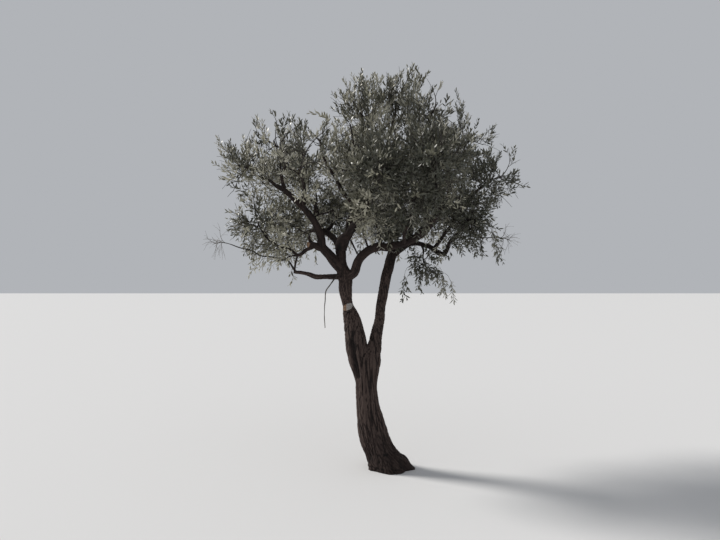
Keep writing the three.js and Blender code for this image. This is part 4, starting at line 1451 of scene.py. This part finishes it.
# A leaf's outline, as shares of its length along, its half width across and its length up: six
# faces on its upper side, and six below that meet in a keel
LEAF_POINTS = np.array([
    (0, 0, 0), (0.22, 0.68, 0.03), (0.5, 1, 0.05), (0.8, 0.6, 0.03),
    (1, 0, -0.03), (0.8, -0.6, 0.03), (0.5, -1, 0.05), (0.22, -0.68, 0.03),
])
LEAF_TOP = np.array([(0, 7, 1), (1, 7, 6), (1, 6, 2), (2, 6, 5), (2, 5, 3), (3, 5, 4)])
LEAF_KEEL = np.array([(0, 1, 2), (0, 2, 3), (0, 3, 4), (0, 4, 5), (0, 5, 6), (0, 6, 7)])


def leaf_shells(places, foliage):
    """Vertices, triangles and material slots of many leaves."""
    feet, direction, above, size, top, under = places
    across = np.cross(above, direction)
    length = (foliage.leaf_length * size)[:, None, None]
    width = (foliage.leaf_width * size)[:, None, None] / 2
    along, aside, up = LEAF_POINTS[None, :, 0:1], LEAF_POINTS[None, :, 1:2], LEAF_POINTS[None, :, 2:3]
    verts = (feet[:, None] + direction[:, None] * along * length
             + across[:, None] * aside * width + above[:, None] * up * length)
    pattern = np.vstack([LEAF_TOP, LEAF_KEEL])
    faces = pattern[None] + (np.arange(len(feet)) * len(LEAF_POINTS))[:, None, None]
    upper, lower = np.repeat(top[:, None], len(LEAF_TOP), 1), np.repeat(under[:, None], len(LEAF_KEEL), 1)
    return verts.reshape(-1, 3), faces.reshape(-1, 3), np.hstack([upper, lower]).reshape(-1)


def clear_of_wood(points, samples, margin):
    """Which points lie outside all the wood."""
    clear = np.ones(len(points), bool)
    # Only wood in the points' box, or this near it, is looked at
    near = 0.1
    low, high = points.min(axis=0) - near, points.max(axis=0) + near
    close = samples[((samples[:, :3] > low) & (samples[:, :3] < high)).all(axis=1)]
    if len(close):
        for start in range(0, len(points), BATCH):
            part = points[start:start + BATCH]
            gap = np.linalg.norm(part[:, None] - close[None, :, :3], axis=2) - close[None, :, 3]
            clear[start:start + BATCH] = gap.min(axis=1) > margin
    return clear


def small_branch(row):
    """Points and radii of a small branch's row."""
    foot, tip, points = row
    line, share = drawn_through(points, spacing=0.02)
    radii = (foot + (tip - foot) * share) * MM
    return wander(line, radii, BRANCH_WANDER, foot), radii


class OBJECT_OT_olive_old_wood(bpy.types.Operator):
    """Builds the trunk, the stems and the main limbs as one skin with the bark's relief"""

    bl_idname = "object.olive_old_wood"
    bl_label = "Trunk and Main Limbs"

    def execute(self, context):
        wood = context.scene.olive_wood
        sides = 20
        shells = [self.trunk_shell()] + [skin_rings(*limb_line(row, rooted=True), sides) for row in LIMBS]
        bark = bark_material("bark", wood.furrow_colour, wood.russet_colour, wood.ridge_colour)
        piece = add_mesh("old_wood", *join_shells(shells), [bark])
        pick_only(piece)
        self.fuse(piece, wood.skin_cell)
        lines = [limb_line(row) for row in LIMBS]
        give_relief(piece, np.vstack([trunk_samples(), wood_samples(lines)]), wood, joined=True)
        self.cut_at_ground()
        bpy.ops.object.shade_smooth()
        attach(piece, "root")
        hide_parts("trunk", *[row["name"] for row in LIMBS])
        return {"FINISHED"}

    def trunk_shell(self):
        """The trunk's skin, from below the ground to a dome that fills the crotch of the fork."""
        rings, sides = 84, 72
        below, rise, dome_start = 60, 32, 130
        thinning, thinning_run = 0.26, 200
        top = TRUNK["height"]
        height = np.linspace(-below, top + rise, rings)
        side = round_angles(sides)
        wide, deep = trunk_radius(side[None, :], np.minimum(height, top)[:, None])
        up_dome = np.maximum(0, (height - top + dome_start) / (dome_start + rise))
        dome = np.sqrt(np.maximum(0.01, 1 - up_dome ** 2))[:, None]
        deep = deep * (1 - thinning * smooth_step(height, top - thinning_run, top))[:, None]
        axis = trunk_axis(height)
        verts = np.stack([
            axis[:, 0:1] + wide * dome * np.cos(side),
            deep * dome * np.sin(side),
            np.repeat(axis[:, 2:3], sides, axis=1),
        ], axis=-1)
        verts, faces = close_rings(verts.reshape(-1, 3), rings, sides, axis[0], axis[-1])
        return verts * MM, faces

    def fuse(self, piece, cell):
        """Makes one skin of the closed shells, and softens the creases between them."""
        skin = piece.modifiers.new("one_skin", "REMESH")
        skin.mode = "VOXEL"
        skin.voxel_size = cell
        bpy.ops.object.modifier_apply(modifier=skin.name)
        soften = piece.modifiers.new("soften", "SMOOTH")
        soften.factor = 0.5
        soften.iterations = 5
        bpy.ops.object.modifier_apply(modifier=soften.name)

    def cut_at_ground(self):
        """Takes away what lies below the ground, and leaves triangles."""
        bpy.ops.object.mode_set(mode="EDIT")
        bpy.ops.mesh.select_all(action="SELECT")
        bpy.ops.mesh.bisect(plane_co=(0, 0, 0), plane_no=(0, 0, -1), use_fill=True, clear_outer=True)
        bpy.ops.mesh.select_all(action="SELECT")
        bpy.ops.mesh.quads_convert_to_tris()
        bpy.ops.object.mode_set(mode="OBJECT")


class OBJECT_OT_olive_boughs(bpy.types.Operator):
    """Builds the boughs, which run on into the crown as the stems of its masses"""

    bl_idname = "object.olive_boughs"
    bl_label = "Boughs and Small Branches"

    def execute(self, context):
        wood = context.scene.olive_wood
        kinds = (
            ("boughs", "bark", False, wood.ridge_colour, SMALL_BRANCHES),
            ("dead_boughs", "dead_wood", True, wood.dead_colour, (HANGING_TWIG,)),
        )
        for name, slot, dead, colour, small in kinds:
            rows = [row for row in BOUGHS if is_bare(row) == dead]
            lines = [self.bough_line(row, wood.bough_ring) for row in rows]
            lines += [small_branch(row) for row in small]
            shells = [skin_rings(points, radii, self.sides_for(radii[0])) for points, radii in lines]
            body = halved(colour) if dead else wood.russet_colour
            material = bark_material(f"{name}_bark", wood.furrow_colour, body, colour)
            piece = add_mesh(name, *join_shells(shells), [material], smooth=True)
            give_relief(piece, wood_samples(lines), wood)
            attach(piece, "root")
            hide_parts(*[f"{row['name']}_bough" for row in rows])
        return {"FINISHED"}

    def sides_for(self, radius):
        """How many sides a bough of this radius has: thick ones are rounder."""
        if radius > 0.04:
            return 14
        return 10 if radius > 0.02 else 7

    def bough_line(self, row, spacing):
        """A bough's line and radii, from inside its parent through the middle of its mass."""
        on_steps, out_steps, thinning = 11, 8, 0.75
        points, radii = limb_line(row, spacing=spacing)
        stem, _ = mass_stem(row, SPACES[BOUGHS.index(row)])
        on = led_line(row, np.linspace(LINES[row["name"]]["end_share"], 1, on_steps + 1)[1:])
        out = stem[2] + (stem[3] - stem[2]) * np.linspace(0, 1, out_steps + 1)[1:, None]
        tail = on_steps + out_steps
        radii = np.concatenate([radii, radii[-1] * (1 - thinning * np.arange(1, tail + 1) / tail)])
        return np.vstack([points, on, out]), radii


class OBJECT_OT_olive_foliage(bpy.types.Operator):
    """Grows each mass's twigs and leaves, and joins each kind into a few pieces"""

    bl_idname = "object.olive_foliage"
    bl_label = "Twigs and Leaves"

    def execute(self, context):
        foliage = context.scene.olive_foliage
        growths = [grow_mains(row, space, foliage) for row, space in zip(BOUGHS, SPACES)]
        self.thin_sides(growths, foliage)
        lines = [limb_line(row) for row in LIMBS + BOUGHS] + [small_branch(row) for row in SMALL_BRANCHES]
        samples = np.vstack([trunk_samples(), wood_samples(lines)])
        leaves = {}
        for row, space, growth in zip(BOUGHS, SPACES, growths):
            if row.get("weeping"):
                growth["hanging"] = weeping_lines(row, space, growth)
            growth["shoots"], spray = grow_shoots(row, space, growth, foliage)
            if is_bare(row):
                continue
            colours = spray_colours(row, space, growth, space.first_spray + spray)
            places = leaf_places(growth["shoots"], colours, space.seed, foliage)
            feet, direction, _, size = places[:4]
            middles = feet + direction * foliage.leaf_length * size[:, None] * LEAF_MARGIN_AT
            keep = clear_of_wood(middles, samples, LEAF_MARGIN)
            leaves[row["name"]] = [column[keep] for column in places]
        self.add_twigs(context, growths)
        self.add_leaves(context, leaves)
        return {"FINISHED"}

    def thin_sides(self, growths, foliage):
        """Keeps side twigs that stand apart, over the whole crown at once."""
        middles = [growth["sides"][:, 3] for growth in growths]
        gaps = []
        for row, places in zip(BOUGHS, middles):
            gap = BARE_SIDE_GAP if is_bare(row) else foliage.side_gap / math.sqrt(row["fullness"])
            gaps.append(np.full(len(places), gap))
        chosen = spread_out(np.vstack(middles), np.concatenate(gaps))
        start = 0
        for growth, places in zip(growths, middles):
            stay = chosen[start:start + len(places)]
            growth["sides"], growth["inner"] = growth["sides"][stay], growth["inner"][stay]
            start += len(places)

    def add_twigs(self, context, growths):
        """Living twigs are one piece and dead ones another."""
        wood, foliage = context.scene.olive_wood, context.scene.olive_foliage
        living = plain_material("twig_bark", foliage.twig_colour, roughness=0.8, specular=0.3)
        dead = plain_material("dead_twig", wood.dead_colour, roughness=0.85, specular=0.2)
        kinds = (("twigs", "foliage", living, False, 1.0), ("dead_twigs", "dead_twigs", dead, True, 0.5))
        for name, slot, material, is_dead, stoutness in kinds:
            shells, nodes = [], []
            for row, growth in zip(BOUGHS, growths):
                if is_bare(row) == is_dead:
                    shells += self.rods(growth, stoutness)
                    nodes.append(mass_node(row))
            piece = add_mesh(name, *join_shells(shells), [material])
            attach(piece, "root")
            if is_dead:
                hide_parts(*nodes)

    def rods(self, growth, stoutness):
        """Rods for a mass's twigs, each thinner than the one that it grows on."""
        # The radii at the foot and the tip of each kind, and its sides
        kinds = (
            ("mains", 0.0085, 0.0038, 5), ("sides", 0.0038, 0.002, 3),
            ("hanging", 0.0032, 0.0012, 3), ("shoots", 0.0019, 0.001, 3),
        )
        thinnest_foot, thinnest_tip = 0.0014, 0.001
        shells = []
        for kind, foot, tip, sides in kinds:
            if kind in growth:
                lines = growth[kind]
                ends = (max(foot * stoutness, thinnest_foot), max(tip * stoutness, thinnest_tip))
                radii = np.tile(np.linspace(*ends, lines.shape[1]), (len(lines), 1))
                shells.append(thin_rods(lines, radii, sides))
        return shells

    def add_leaves(self, context, leaves):
        """One piece for each part of the crown, with its colours, lit and shaded copies that paint light,
        dealt out by spray.
        """
        foliage = context.scene.olive_foliage
        glossy, felted = dict(roughness=0.42, specular=0.5), dict(roughness=0.6, specular=0.4)
        # Upper sides in painted sunlight, plain and in painted shade, and undersides silver and in painted
        # shade
        materials = [
            plain_material("leaf_sunny", foliage.sunny_colour, **glossy),
            plain_material("leaf_middle", foliage.middle_colour, **glossy),
            plain_material("leaf_shady", foliage.shady_colour, **glossy),
            plain_material("underside_silver", foliage.silver_colour, **felted),
            plain_material("underside_shaded", foliage.shaded_underside_colour, **felted),
        ]
        for name, masses in LEAF_PARTS.items():
            shells = [leaf_shells(leaves[mass], foliage) for mass in masses]
            verts, faces = join_shells([shell[:2] for shell in shells])
            piece = add_mesh(name, verts, faces, materials, np.concatenate([shell[2] for shell in shells]))
            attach(piece, "root")
            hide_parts(*[mass_node(row_of(mass)) for mass in masses])


class OBJECT_OT_olive_saw_cuts(bpy.types.Operator):
    """Adds the pale wound on the left stem and the sawn end of the stub. It needs the old wood"""

    bl_idname = "object.olive_saw_cuts"
    bl_label = "Saw Cuts"

    def execute(self, context):
        wood = context.scene.olive_wood
        sawn = sawn_material("sawn_wood", wood.sawn_colour)
        weathered = sawn_material("weathered_wood", wood.weathered_colour)
        points, radii = limb_line(row_of("cut_stub"))
        facing = unit(points[-1] - points[-2])
        self.stub_end(points[-1], facing, radii[-1] * STUB_SHARE, sawn)
        self.stem_wound([sawn, weathered])
        return {"FINISHED"}

    def round_shell(self, name, rings, materials, split=None):
        """A closed round shell from rings of points. Right of the split it has the second material."""
        rings = np.array(rings)
        count, sides, _ = rings.shape
        foot, hub = rings[0].mean(axis=0), rings[-1].mean(axis=0)
        verts, faces = close_rings(rings.reshape(-1, 3), count, sides, foot, hub)
        slots = None
        if split is not None:
            slots = (verts[faces].mean(axis=1)[:, 0] > split).astype(np.int32)
        piece = add_mesh(name, verts, faces, materials, slots, smooth=True)
        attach(piece, "root")

    def stub_end(self, middle, facing, radius, material):
        """The stub's end: a lip of bark round a face that dips a little."""
        across = unit(np.cross(UP, facing))
        side = round_angles(CUT_SIDES)
        ragged = 1 + 0.05 * np.sin(3 * side + 1) + 0.03 * np.sin(7 * side)
        ways = ring_ways(across[None], np.cross(facing, across)[None], CUT_SIDES)[0]
        rings = []
        for share, lift in STUB_RINGS:
            rings.append(middle + ways * (radius * share * ragged)[:, None] + facing * lift)
        self.round_shell("stub_end", rings, [material])

    def stem_wound(self, materials):
        """The wound, wrapped round the left stem's front: a slanting oval with a healed rim."""
        points, _ = limb_line(row_of("left_stem"))
        rings = []
        for share, lift in WOUND_RINGS:
            ring = []
            for angle in round_angles(CUT_SIDES):
                wide = WOUND["half_width"] * share * math.cos(angle)
                high = WOUND["half_height"] * share * math.sin(angle)
                place, out = self.on_stem(points, wide, WOUND["up"] + high + WOUND["slant"] * wide)
                ring.append(place + out * lift)
            rings.append(ring)
        self.round_shell("stem_wound", rings, materials, split=WOUND["right"])

    def on_stem(self, points, wide, height):
        """The stem's surface this far round from the wound's middle, and the way out from it."""
        axis = np.array([np.interp(height, points[:, 2], points[:, k]) for k in range(2)] + [height])
        turn = wide / WOUND["girth"] + math.radians(WOUND["turn"])
        out = np.array([math.sin(turn), -math.cos(turn), 0])
        from_afar = 0.4
        hit, place, _, _ = bpy.data.objects["old_wood"].ray_cast(
            axis + out * from_afar, -out, distance=from_afar)
        if not hit:
            raise RuntimeError("the wound isn't on the stem")
        return np.array(place), out


def just_added(name):
    """The object that an operator has just added, named."""
    piece = bpy.context.active_object
    piece.name = name
    piece.data.name = name
    return piece


class SCENE_OT_olive_stage(bpy.types.Operator):
    """Makes the plain floor, the soft light and the camera at the photograph's angle"""

    bl_idname = "scene.olive_stage"
    bl_label = "Floor, Light and Camera"

    def execute(self, context):
        settings = context.scene.olive_stage
        floor_width, floor_drop, key_distance, view_depth = 240, 0.002, 12, 400
        bpy.ops.object.select_all(action="DESELECT")
        bpy.ops.mesh.primitive_plane_add(size=floor_width, location=(0, 0, -floor_drop))
        floor = just_added("floor")
        matt = plain_material("plain_floor", settings.floor_colour, roughness=0.95, specular=0.1)
        floor.data.materials.append(matt)
        world = bpy.data.worlds.new("soft_surroundings")
        world.use_nodes = True
        background = world.node_tree.nodes["Background"]
        background.inputs["Color"].default_value = settings.sky_colour
        background.inputs["Strength"].default_value = settings.sky_power
        context.scene.world = world
        heading = Vector(settings.key_heading)
        bpy.ops.object.light_add(
            type="SUN", location=heading * -key_distance,
            rotation=heading.to_track_quat("-Z", "Y").to_euler())
        key = just_added("key_light")
        key.data.energy = settings.key_power
        key.data.angle = settings.key_softness
        key.data.color = settings.key_colour[:3]
        bpy.ops.object.camera_add(
            location=settings.camera_place, rotation=(math.pi / 2 + settings.camera_pitch, 0, 0))
        camera = just_added("photo_camera")
        camera.data.sensor_width = SENSOR_WIDTH
        camera.data.lens = settings.camera_lens
        camera.data.clip_end = view_depth
        context.scene.camera = camera
        context.scene.view_settings.view_transform = "Standard"
        return {"FINISHED"}


class VIEW3D_PT_olive_tree(bpy.types.Panel):
    """Lists the tree's steps and settings"""

    bl_label = "Olive Tree"
    bl_space_type = "VIEW_3D"
    bl_region_type = "UI"
    bl_category = "Olive Tree"

    def draw(self, context):
        layout = self.layout
        for step in STEPS:
            layout.operator(step.bl_idname)
        for group in GROUPS:
            settings = getattr(context.scene, group)
            for name in settings.__annotations__:
                layout.prop(settings, name)


GROUPS = {"olive_wood": WoodSettings, "olive_foliage": FoliageSettings, "olive_stage": StageSettings}
STEPS = (
    OBJECT_OT_olive_old_wood,
    OBJECT_OT_olive_boughs,
    OBJECT_OT_olive_foliage,
    OBJECT_OT_olive_saw_cuts,
    SCENE_OT_olive_stage,
)


def register():
    """Adds the settings, the operators and the panel to Blender."""
    for name, group in GROUPS.items():
        bpy.utils.register_class(group)
        setattr(bpy.types.Scene, name, bpy.props.PointerProperty(type=group))
    for step in STEPS + (VIEW3D_PT_olive_tree,):
        bpy.utils.register_class(step)


def unregister():
    """Takes the settings, the operators and the panel out of Blender."""
    for step in reversed(STEPS + (VIEW3D_PT_olive_tree,)):
        bpy.utils.unregister_class(step)
    for name, group in reversed(list(GROUPS.items())):
        delattr(bpy.types.Scene, name)
        bpy.utils.unregister_class(group)


def main():
    """Builds the tree and its stage."""
    register()
    bpy.ops.object.olive_old_wood()
    bpy.ops.object.olive_boughs()
    bpy.ops.object.olive_foliage()
    bpy.ops.object.olive_saw_cuts()
    bpy.ops.scene.olive_stage()


if __name__ == "__main__":
    main()
